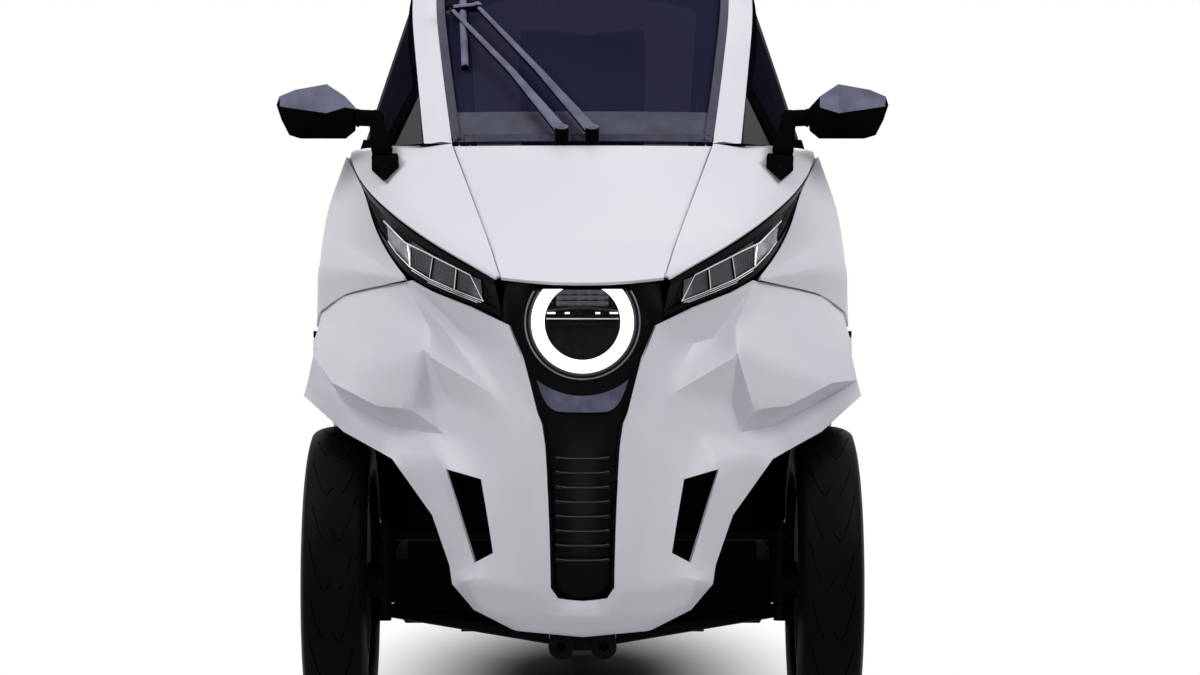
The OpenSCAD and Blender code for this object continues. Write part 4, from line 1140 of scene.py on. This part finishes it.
@dataclass
class SideLamp:
    """Fins, cells and bright rims in the two side lamps.

    A run counts the points of the edges from the lamp's inner end. A rise is 0 at the low edge and 1 at the
    high one. The edges' points are x, y and z in millimetres, for the left side.
    """

    shop: Workshop
    low_edge: tuple[Point, ...] = (
        (127.6, -1181, 749), (190, -1141, 777), (255.4, -1082, 803),
        (298.4, -1026, 828), (334.2, -950, 863), (363, -852, 902),
    )
    high_edge: tuple[Point, ...] = (
        (138.4, -1184, 789), (190, -1141, 813), (247.6, -1080, 843),
        (299.6, -1007, 877), (337.8, -932, 909), (372, -844, 942),
    )
    outward: Point = (0.6, -0.78, 0.18)
    fins: int = 7
    fin_columns: int = 10
    fin_span: Pair = (3.05, 4.35)
    fin_low: float = 0.02
    fin_top: float = 0.72
    fin_top_fall: float = 0.06
    fin_lifts: tuple[float, ...] = (-7.0 * MM, -5.7 * MM, -4.4 * MM, -7.4 * MM)
    cell_spans: tuple[Pair, ...] = ((0.72, 1.42), (1.48, 2.16), (2.22, 3.0))
    cell_columns: int = 8
    cell_rows: int = 5
    cell_low: float = 0.06
    cell_rise: float = 0.9
    cell_lift: float = -6 * MM
    cell_wall: float = 0.6 * MM
    cell_depth: float = -1.6 * MM
    lines: tuple[LampLine, ...] = (
        LampLine(
            ((4.35, 0.8), (3.7, 0.78), (3.2, 0.74), (2.5, 0.9), (1.9, 0.98), (0.98, 1.0), (0.62, 0.04)),
            1.5 * MM, 1.0 * MM,
        ),
        LampLine(
            ((0.62, 0.04), (1.3, 0.0), (2.15, 0.0), (3.0, 0.02), (3.7, 0.02), (4.2, 0.1)), 1.0 * MM, 0.0
        ),
        LampLine(((0.7, -0.07), (1.4, -0.08), (2.2, -0.08), (2.9, -0.06)), 0.6 * MM, 0.5 * MM),
        LampLine(((0.8, -0.15), (1.5, -0.16), (2.2, -0.15)), 0.6 * MM, 0.5 * MM),
        LampLine(((3.02, 0.04), (3.04, 0.4), (3.14, 0.72)), 1.0 * MM, -2.0 * MM),
        LampLine(((1.45, 0.04), (1.45, 0.96)), 0.8 * MM, -2.0 * MM),
        LampLine(((2.19, 0.04), (2.19, 0.94)), 0.8 * MM, -2.0 * MM),
    )

    def spot(self, run: float, rise: float, lift: float) -> Vector:
        """Gives a point of the lamp.

        Args:
            run: Place along the lamp.
            rise: Share from the lower to the upper edge.
            lift: Distance outwards, in metres.

        Returns:
            The point in the shared frame.
        """
        row = min(int(run), len(self.low_edge) - 2)
        low, high = (
            Vector(edge[row]).lerp(Vector(edge[row + 1]), run - row) * MM
            for edge in (self.low_edge, self.high_edge)
        )
        return low.lerp(high, rise) + Vector(self.outward) * lift

    def build(self) -> None:
        """Builds the three pieces, each on both sides."""
        self.build_fins()
        self.build_cells()
        self.build_rims()

    def dressed(self, name: str, bm: bmesh.types.BMesh, finish: Finish) -> None:
        """Mirrors a half and makes it a piece on the chassis."""
        doubled_across(bm)
        self.shop.piece(name, smoothed(bm), CHASSIS, "dark_trim", finish)

    def build_fins(self) -> None:
        """Builds the stepped reflector at the lamp's outer end."""
        bm = bmesh.new()
        mesh_grid(bm, self.fin_columns, len(self.fin_lifts) * self.fins, self.fin_point)
        faced_outwards(bm)
        self.dressed("side_lamp_fins", bm, BRIGHT_METAL_AND_GLINT)

    def fin_point(self, column: int, row: int) -> Vector:
        """Places a point of the stepped reflector.

        Args:
            column: Column along the lamp.
            row: Row from below; it takes its lift from its place in the step.

        Returns:
            The point in the shared frame.
        """
        first, last = self.fin_span
        steps = len(self.fin_lifts)
        run = first + (last - first) * column / self.fin_columns
        top = self.fin_top - self.fin_top_fall * (run - first)
        rise = self.fin_low + (top - self.fin_low) * row / (steps * self.fins)
        return self.spot(run, rise, self.fin_lifts[row % steps])

    def build_cells(self) -> None:
        """Builds the gridded compartments."""
        bm = bmesh.new()
        for first, last in self.cell_spans:

            def place(i: int, j: int) -> Vector:
                """Places a corner of a cell by its column and row."""
                run = first + (last - first) * i / self.cell_columns
                return self.spot(run, self.cell_low + self.cell_rise * j / self.cell_rows, self.cell_lift)

            faces = mesh_grid(bm, self.cell_columns, self.cell_rows, place)
            bmesh.ops.inset_individual(bm, faces=faces, thickness=self.cell_wall, depth=self.cell_depth)
        faced_outwards(bm)
        self.dressed("side_lamp_cells", bm, SMOKED_CHROME)

    def build_rims(self) -> None:
        """Builds the bright lines round the lens and the dividers between its compartments."""
        bm = bmesh.new()
        for line in self.lines:
            swept(bm, [self.spot(run, rise, line.lift) for run, rise in line.points], line.radius, 6)
        self.dressed("side_lamp_rims", bm, BRIGHT_METAL_AND_GLINT)


@dataclass
class ChinLip:
    """Slate-coloured lip in the nose below the ring lamp."""

    shop: Workshop
    lamp_z: float = 733 * MM
    top_r: float = 124 * MM
    low_z: float = 580 * MM
    half: float = 77 * MM
    tip_rise: float = 58 * MM
    tip_power: int = 5
    least_height: float = 0.5 * MM
    lift: float = 1 * MM
    swell: float = 8 * MM
    wall: float = 0.8 * MM
    columns: int = 24
    rows: int = 6

    def build(self) -> bpy.types.Object:
        """Builds the lip against the nose panel.

        Returns:
            The dressed piece.
        """
        skin = Skin("nose_panel")
        bm = bmesh.new()
        mesh_grid(bm, self.columns, self.rows, lambda i, j: self.point(skin, i, j))
        faced_outwards(bm)
        bmesh.ops.reverse_faces(bm, faces=[face for face in bm.faces if face.normal.y > 0])
        obj = self.shop.piece("chin_lip", smoothed(bm), CHASSIS, "gloss_black", CHIN_SLATE)
        wall = obj.modifiers.new("wall", "SOLIDIFY")
        wall.thickness = self.wall
        wall.offset = -1.0
        return obj

    def point(self, skin: Skin, column: int, row: int) -> Vector:
        """Places a point between the lamp's round edge and the lip's lower edge.

        Args:
            skin: The nose panel's outer face.
            column: Column across the car.
            row: Row from above.

        Returns:
            The point in the shared frame.
        """
        across = 2 * column / self.columns - 1
        share = row / self.rows
        x = across * self.half
        high = self.lamp_z - math.sqrt(self.top_r ** 2 - x ** 2)
        low = min(high - self.least_height, self.low_z + self.tip_rise * abs(across) ** self.tip_power)
        lift = self.lift + self.swell * share * (1 - across ** 4)
        return skin.at(x, high + (low - high) * share, lift)


@dataclass
class SlatHighlights:
    """Fine raised line along the upper edge of each slat in the nose: a painted highlight, in slate."""

    shop: Workshop
    count: int = 8
    top_z: float = 505 * MM
    pitch: float = 24.3 * MM
    half: float = 44 * MM
    tip_rise: float = 3 * MM
    lift: float = 0.3 * MM
    wire: float = 0.8 * MM
    half_points: int = 6

    def build(self) -> bpy.types.Object:
        """Builds the lines on the nose panel.

        Returns:
            The dressed piece.
        """
        skin = Skin("nose_panel")
        shares = [j / self.half_points for j in range(-self.half_points, self.half_points + 1)]
        bm = bmesh.new()
        for i in range(self.count):
            level = self.top_z - i * self.pitch
            path = [skin.at(q * self.half, level + self.tip_rise * q ** 4, self.lift) for q in shares]
            front = min(point.y for point in path)
            swept(bm, [Vector((point.x, front, point.z)) for point in path], self.wire, 6)
        return self.shop.piece("slat_edge_highlights", smoothed(bm), CHASSIS, "gloss_black", SLATE_TRIM_AND_HIGHLIGHT)


@dataclass
class ScreenBands:
    """Printed band round the windscreen and the black seal at its foot."""

    shop: Workshop
    screen: bpy.types.Object
    side_width: float = 17 * MM
    band_top: float = 1114 * MM
    band_lift: float = 0.5 * MM
    seal_top: float = 1066 * MM
    seal_lift: float = 1.0 * MM
    outside: Point = (0.0, -0.6, 0.8)
    outer_from: float = 0.6

    def build(self) -> None:
        """Builds the band and the seal from the glass as it is shown."""
        band = self.cut(self.band_top, self.band_lift, with_sides=True)
        self.shop.piece("windscreen_band", band, CHASSIS, "glass", PRINTED_BAND)
        seal = self.cut(self.seal_top, self.seal_lift, with_sides=False)
        self.shop.piece("windscreen_seal", seal, CHASSIS, "black_plastic")

    def outer_face(self) -> bmesh.types.BMesh:
        """Copies the outer face of the glass.

        Returns:
            The open mesh.
        """
        shown = self.screen.evaluated_get(bpy.context.evaluated_depsgraph_get())
        bm = bmesh.new()
        bm.from_mesh(shown.to_mesh())
        shown.to_mesh_clear()
        inner = [face for face in bm.faces if face.normal.dot(Vector(self.outside)) < self.outer_from]
        bmesh.ops.delete(bm, geom=inner, context="FACES")
        return bm

    def cut(self, top: float, lift: float, with_sides: bool) -> bmesh.types.BMesh:
        """Cuts a thin shell from the outer face of the glass.

        Args:
            top: Height of the shell's upper edge.
            lift: Distance off the glass.
            with_sides: Whether the shell also runs along the other edges.

        Returns:
            The shell.
        """
        bm = self.outer_face()
        layer = bm.faces.layers.int.new("band")
        if with_sides:
            ring = bmesh.ops.inset_region(bm, faces=bm.faces[:], use_boundary=True, thickness=self.side_width)
            for face in ring["faces"]:
                face[layer] = 1
        geom = bm.verts[:] + bm.edges[:] + bm.faces[:]
        bmesh.ops.bisect_plane(bm, geom=geom, plane_co=(0.0, 0.0, top), plane_no=(0.0, 0.0, 1.0))
        spare = [face for face in bm.faces if not face[layer] and face.calc_center_median().z > top]
        bmesh.ops.delete(bm, geom=spare, context="FACES")
        bmesh.ops.translate(bm, verts=bm.verts[:], vec=Vector(self.outside) * lift)
        return smoothed(bm)


@dataclass
class Cushion:
    """Padded seat piece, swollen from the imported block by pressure."""

    shop: Workshop
    node: str
    fill: float
    taper: float = 0.0
    shrink: float = 0.94
    voxel: float = 6 * MM
    swell_cap: float = 24 * MM
    frames: int = 20
    pressure: float = 4.0

    def build(self) -> bpy.types.Object:
        """Builds the cushion in place of its node.

        Returns:
            The dressed cushion.
        """
        low, high = (Vector(corner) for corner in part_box(self.node))
        start, body = self.start_shape(low, high), body_of_node(self.node)
        obj = self.shop.piece(f"{self.node}_padded", start, body, "seat_cloth", None, (self.node,))
        self.remesh(obj)
        self.inflate(obj)
        self.keep_inside(obj.data, low, high)
        finer = obj.modifiers.new("finer", "SUBSURF")
        finer.levels = 1
        finer.render_levels = 1
        return obj

    def start_shape(self, low: Vector, high: Vector) -> bmesh.types.BMesh:
        """Copies the block a little smaller, and narrower towards its top.

        Args:
            low: Lowest corner of the node.
            high: Highest corner of the node.

        Returns:
            The mesh to swell.
        """
        bm = merged_copy(self.node)
        middle = (low + high) / 2
        for vert in bm.verts:
            rise = (vert.co.z - low.z) / (high.z - low.z)
            vert.co = middle + (vert.co - middle) * self.shrink
            vert.co.x *= 1 - self.taper * rise
        return bm

    def remesh(self, obj: bpy.types.Object) -> None:
        """Rebuilds the mesh in even cells.

        Args:
            obj: The cushion.
        """
        modifier = obj.modifiers.new("cells", "REMESH")
        modifier.mode = "VOXEL"
        modifier.voxel_size = self.voxel
        graph = bpy.context.evaluated_depsgraph_get()
        mesh = bpy.data.meshes.new_from_object(obj.evaluated_get(graph))
        obj.modifiers.remove(modifier)
        spare, obj.data = obj.data, mesh
        bpy.data.meshes.remove(spare)

    def inflate(self, obj: bpy.types.Object) -> None:
        """Swells the mesh by a cloth run and caps how far each point moves.

        Args:
            obj: The cushion.
        """
        start = [vert.co.copy() for vert in obj.data.vertices]
        cloth = obj.modifiers.new("swell", "CLOTH")
        cloth.settings.use_pressure = True
        cloth.settings.uniform_pressure_force = self.pressure
        cloth.settings.effector_weights.gravity = 0.0
        scene = bpy.context.scene
        for frame_number in range(1, self.frames + 1):
            scene.frame_set(frame_number)
        graph = bpy.context.evaluated_depsgraph_get()
        swollen = [vert.co.copy() for vert in obj.evaluated_get(graph).data.vertices]
        obj.modifiers.remove(cloth)
        scene.frame_set(1)
        for vert, before, after in zip(obj.data.vertices, start, swollen):
            move = after - before
            vert.co = before + move * min(1.0, self.swell_cap / max(move.length, 1e-9))
        for polygon in obj.data.polygons:
            polygon.use_smooth = True

    def keep_inside(self, mesh: bpy.types.Mesh, low: Vector, high: Vector) -> None:
        """Holds the cushion within its packed block, so that it lies flat where it rests."""
        for vert in mesh.vertices:
            vert.co = [min(max(value, a), b) for value, a, b in zip(vert.co, low, high)]


@dataclass
class Seats:
    """Driver's seat and the seat behind it."""

    shop: Workshop

    def build(self) -> None:
        """Builds the four cushions."""
        Cushion(self.shop, "driver_cushion", fill=0.7).build()
        Cushion(self.shop, "driver_backrest", fill=0.75, taper=0.2).build()
        Cushion(self.shop, "passenger_cushion", fill=0.7).build()
        Cushion(self.shop, "passenger_backrest", fill=0.7, taper=0.08).build()


@dataclass
class MirrorTrim:
    """Recess of the screw on the foot of each mirror."""

    shop: Workshop
    x: float = 348 * MM
    z: float = 1008 * MM
    radius: float = 6 * MM
    taper: float = 0.85
    height: float = 2 * MM
    rim: float = 1.4 * MM
    sides: int = 24
    depth: float = 1.6 * MM

    def build(self) -> bpy.types.Object:
        """Builds the two recess rings.

        Returns:
            The dressed piece.
        """
        skin = Skin("mirror_left")
        spot = skin.at(self.x, self.z)
        normal = skin.at(self.x, self.z, 1.0) - spot
        place = Matrix.Translation(spot) @ normal.to_track_quat("Z", "Y").to_matrix().to_4x4()
        bm = bmesh.new()
        bmesh.ops.create_cone(
            bm, cap_ends=True, segments=self.sides, radius1=self.radius, radius2=self.radius * self.taper,
            depth=self.height, matrix=place,
        )
        caps = [face for face in bm.faces if len(face.verts) > 4 and face.normal.dot(normal) > 0.5]
        bmesh.ops.inset_region(bm, faces=caps, thickness=self.rim, depth=-self.depth)
        doubled_across(bm)
        return self.shop.piece("mirror_foot_screws", smoothed(bm), CHASSIS, "gloss_black")


@dataclass
class BodyShell:
    """Painted panels, lamp housings and window glass.

    The bumper's facets stay sharper than the other panels, and its cheek_hollow is a list of shifts.
    """

    shop: Workshop
    painted: tuple[str, ...] = (
        "bonnet", "shoulder_left", "shoulder_right", "wing_left", "wing_right", "pillar_left", "pillar_right",
        "roof_panel", "quarter_left", "quarter_right", "rear_panel",
    )
    doors: tuple[str, ...] = ("door_left", "door_right")
    door_frame_line: Pair = (1.0646, 0.0207)
    facet_soft_below: float = 2.0
    facet_hard_above: float = 14.0
    facet_rounding: float = 1.0 * MM
    cheek_hollow: tuple[tuple[Point, Point], ...] = (
        ((351, -1052, 593), (2, -6, -4)),
        ((431, -985, 633), (4, -6, -4)),
        ((270, -1100, 543), (0, 12, 2)),
        ((341, -1028, 548), (-4, 34, 8)),
        ((426, -960, 591), (-8, 26, 4)),
    )
    glazed: tuple[str, ...] = ("rear_window", "quarter_glass", "side_lamp_lenses")
    side_glass: tuple[str, ...] = ("door_glass_left", "door_glass_right")
    glass_rounding: float = 0.6 * MM

    def build(self) -> None:
        """Builds the bumper with its sharper facets, the other panels, the doors and the glass."""
        SmoothNode(
            self.shop, "front_bumper", Surface.PANEL, soft_below=self.facet_soft_below,
            hard_above=self.facet_hard_above, rounding=self.facet_rounding, lining=Lining.INNER,
            shifts=self.cheek_hollow,
        ).build()
        for node in self.painted:
            SmoothNode(self.shop, node, Surface.PANEL, lining=Lining.INNER).build()
        for node in self.doors:
            line = self.door_frame_line
            SmoothNode(self.shop, node, Surface.PANEL, lining=Lining.INNER, frame_line=line).build()
        SmoothNode(self.shop, "side_lamp_housings", Surface.PANEL).build()
        for node in self.glazed:
            self.glass(node)
        for node in self.side_glass:
            self.glass(node, SIDE_GLASS)
        ScreenBands(self.shop, self.glass("windscreen")).build()

    def glass(self, node: str, finish: Finish | None = None) -> bpy.types.Object:
        """Builds one pane, in a finish of its own where one is given."""
        return SmoothNode(self.shop, node, Surface.PANEL, finish, rounding=self.glass_rounding).build()


@dataclass
class RunningGear:
    """Suspension, wheels, floor and blocks with rounded edges, and the outside fittings.

    Each rim goes with the side that its hub faces, 1 for the car's left.
    """

    shop: Workshop
    turned: tuple[str, ...] = (
        "headlamp_housing", "headlamp_ring", "headlamp_lens", "steering_wheel", "rim_front_left",
        "rim_front_right", "rim_rear", "knuckle_left", "knuckle_right", "suspension_arms", "front_subframe",
        "swing_arm",
    )
    edged: tuple[str, ...] = (
        "floor_tub", "arch_liners", "battery_block", "bulkhead", "nose_panel", "dashboard", "rear_mudguard",
        "motor_block", "rear_seat_box", "corner_trims", "tail_lamps",
    )
    mirror_foot_half: float = 415 * MM
    fitting_rounding: float = 2.5 * MM
    tyres: tuple[str, ...] = ("tyre_front_left", "tyre_front_right", "tyre_rear")
    rims: tuple[tuple[str, int], ...] = (("rim_front_left", 1), ("rim_front_right", -1), ("rim_rear", 1))

    def build(self) -> None:
        """Builds each piece."""
        for node in self.turned:
            SmoothNode(self.shop, node, Surface.TURNED).build()
        for node in self.edged:
            SmoothNode(self.shop, node, Surface.EDGED).build()
        self.black_with_top_highlight("mirror_left", self.mirror_foot_half)
        self.black_with_top_highlight("mirror_right", self.mirror_foot_half)
        self.black_with_top_highlight("wiper", 0.0)
        for node in self.tyres:
            TreadedTyre(self.shop, node).build()
        for rim, outward in self.rims:
            WheelTrim(self.shop, rim, outward).build()

    def black_with_top_highlight(self, node: str, lit_beyond: float) -> None:
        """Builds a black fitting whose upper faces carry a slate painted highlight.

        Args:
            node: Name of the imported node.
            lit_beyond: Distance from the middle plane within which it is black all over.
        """
        SmoothNode(
            self.shop, node, Surface.EDGED, SLATE_TOP_HIGHLIGHT, self.fitting_rounding, lining=Lining.UNDER,
            lit_beyond=lit_beyond,
        ).build()


def seen_rays(tree: bpy.types.NodeTree) -> bpy.types.NodeSocket:
    """Adds up the rays that show a surface: to the camera, in gloss and through glass.

    Args:
        tree: Node tree of a world or a material.

    Returns:
        Output socket that is 1 for such a ray.
    """
    path = tree.nodes.new("ShaderNodeLightPath")
    total = path.outputs["Is Camera Ray"]
    for ray in ("Is Glossy Ray", "Is Transmission Ray"):
        larger = tree.nodes.new("ShaderNodeMath")
        larger.operation = "MAXIMUM"
        tree.links.new(total, larger.inputs[0])
        tree.links.new(path.outputs[ray], larger.inputs[1])
        total = larger.outputs["Value"]
    return total


@dataclass(frozen=True)
class SoftBox:
    """Square soft light: its place, the point that it faces, its side, power and beam in degrees."""

    name: str
    place: Point
    target: Point
    size: float
    watts: float
    spread: float = 180.0

    def hang(self) -> None:
        """Hangs the light in the scene."""
        data = bpy.data.lights.new(self.name, "AREA")
        data.size = self.size
        data.energy = self.watts
        data.spread = math.radians(self.spread)
        light = bpy.data.objects.new(self.name, data)
        aim = (Vector(self.target) - Vector(self.place)).to_track_quat("-Z", "Y")
        light.matrix_world = Matrix.Translation(self.place) @ aim.to_matrix().to_4x4()
        bpy.context.scene.collection.objects.link(light)


@dataclass
class Studio:
    """Pale floor, soft lights and the camera at the photographed view."""

    camera_place: Point = (0.0, -7.235, 0.707)
    lens_mm: float = 108.0
    sensor_mm: float = 36.0
    photo_width: float = 1200.0
    centre_off_px: float = 17.5
    world_colour: Colour = (0.86, 0.87, 1.0)
    world_strength: float = 0.09
    floor_size: float = 60.0
    floor_tints: tuple[Colour, Colour] = ((0.5, 0.5, 0.51), (0.53, 0.53, 0.53))
    floor_cloud_scale: float = 0.6
    floor_roughness: float = 0.9
    # shadow_colour is a painted shadow: the floor's colour under the car, darker than elsewhere, on top of
    # its real shadow.
    shadow_colour: Colour = (0.18, 0.18, 0.182)
    shadow_y: float = 0.3
    shadow_half: Pair = (0.58, 2.4)
    shadow_span: Pair = (0.2, 1.0)
    lights: tuple[SoftBox, ...] = (
        SoftBox("overhead", (0.0, -0.8, 4.2), (0.0, 0.0, 0.6), 4.5, 36.0),
        SoftBox("side_left", (-3.4, -2.4, 3.9), (0.0, -0.9, 0.7), 2.4, 124.0),
        SoftBox("side_right", (3.4, -2.4, 3.9), (0.0, -0.9, 0.7), 2.4, 124.0),
        SoftBox("front_low", (0.0, -3.2, 0.3), (0.0, -1.2, 0.1), 1.0, 1.0, 60.0),
        SoftBox("behind", (0.0, 4.6, 3.2), (0.0, 0.8, 0.8), 2.4, 70.0),
    )

    def build(self) -> None:
        """Builds camera, world, floor and lights."""
        self.build_camera()
        self.build_world()
        self.build_floor()
        for light in self.lights:
            light.hang()
        bpy.context.scene.view_settings.view_transform = "Standard"

    def build_camera(self) -> None:
        """Places the level camera ahead of the nose."""
        data = bpy.data.cameras.new("photo_camera")
        data.sensor_width = self.sensor_mm
        data.lens = self.lens_mm
        data.shift_x = self.centre_off_px / self.photo_width
        camera = bpy.data.objects.new("photo_camera", data)
        level = Matrix.Rotation(math.radians(90), 4, "X")
        camera.matrix_world = Matrix.Translation(self.camera_place) @ level
        bpy.context.scene.collection.objects.link(camera)
        bpy.context.scene.camera = camera

    def build_world(self) -> None:
        """Lights the scene evenly and shows white to the camera, to gloss and through glass."""
        world = bpy.data.worlds.new("studio")
        world.use_nodes = True
        tree = world.node_tree
        tree.nodes.clear()
        output = tree.nodes.new("ShaderNodeOutputWorld")
        mix = tree.nodes.new("ShaderNodeMixShader")
        soft = tree.nodes.new("ShaderNodeBackground")
        soft.inputs["Color"].default_value = (*self.world_colour, 1.0)
        soft.inputs["Strength"].default_value = self.world_strength
        white = tree.nodes.new("ShaderNodeBackground")
        white.inputs["Color"].default_value = (1.0, 1.0, 1.0, 1.0)
        tree.links.new(seen_rays(tree), mix.inputs["Fac"])
        tree.links.new(soft.outputs["Background"], mix.inputs[1])
        tree.links.new(white.outputs["Background"], mix.inputs[2])
        tree.links.new(mix.outputs["Shader"], output.inputs["Surface"])
        bpy.context.scene.world = world

    def build_floor(self) -> None:
        """Lays the floor."""
        bm = bmesh.new()
        bmesh.ops.create_grid(bm, x_segments=1, y_segments=1, size=self.floor_size / 2)
        mesh = bpy.data.meshes.new("floor")
        bm.to_mesh(mesh)
        bm.free()
        floor = bpy.data.objects.new("floor", mesh)
        bpy.context.scene.collection.objects.link(floor)
        mesh.materials.append(self.floor_material())

    def floor_material(self) -> bpy.types.Material:
        """Builds a floor, white away from the car; near it the car's shadow is deepened by a painted shadow.

        Returns:
            The new material.
        """
        sheet = NodeSheet("pale_floor")
        sheet.tint(sheet.noise(self.floor_cloud_scale), "Fac", self.floor_tints)
        sheet.set(roughness=self.floor_roughness, specular_ior_level=0.0)
        # Near the car the seen floor is painted dark, a painted shadow that fades out across the oval.
        near = sheet.add("ShaderNodeBsdfDiffuse")
        near.inputs["Color"].default_value = (*self.shadow_colour, 1.0)
        white = sheet.add("ShaderNodeEmission")
        shown = sheet.add("ShaderNodeMixShader")
        sheet.link(self.shadow_fade(sheet), "Result", shown, "Fac")
        sheet.link(near, "BSDF", shown, 1)
        sheet.link(white, "Emission", shown, 2)
        pick = sheet.add("ShaderNodeMixShader")
        sheet.tree.links.new(seen_rays(sheet.tree), pick.inputs["Fac"])
        sheet.link(sheet.shader, "BSDF", pick, 1)
        sheet.link(shown, "Shader", pick, 2)
        sheet.link(pick, "Shader", sheet.output, "Surface")
        return sheet.material

    def shadow_fade(self, sheet: NodeSheet) -> bpy.types.Node:
        """Adds a value that grows from 0 under the car to 1 at the edge of an oval round it.

        Args:
            sheet: The floor's nodes.

        Returns:
            The node that gives the value.
        """
        across, along = self.shadow_half
        oval = sheet.add("ShaderNodeMapping")
        oval.inputs["Location"].default_value = (0.0, -self.shadow_y / along, 0.0)
        oval.inputs["Scale"].default_value = (1 / across, 1 / along, 0.0)
        sheet.link(sheet.place, "Object", oval, "Vector")
        reach = sheet.add("ShaderNodeVectorMath", operation="LENGTH")
        sheet.link(oval, "Vector", reach, "Vector")
        fade = sheet.add("ShaderNodeMapRange", interpolation_type="SMOOTHSTEP")
        fade.inputs["From Min"].default_value, fade.inputs["From Max"].default_value = self.shadow_span
        sheet.link(reach, "Value", fade, "Value")
        return fade


def main() -> None:
    """Builds the studio and every sub-assembly in order."""
    logging.basicConfig(level=logging.INFO, format="%(message)s")
    Studio().build()
    shop = Workshop()
    for assembly in (BodyShell, RunningGear, RingLamp, SideLamp, ChinLip, SlatHighlights, MirrorTrim, Seats):
        assembly(shop).build()


if __name__ == "__main__":
    main()
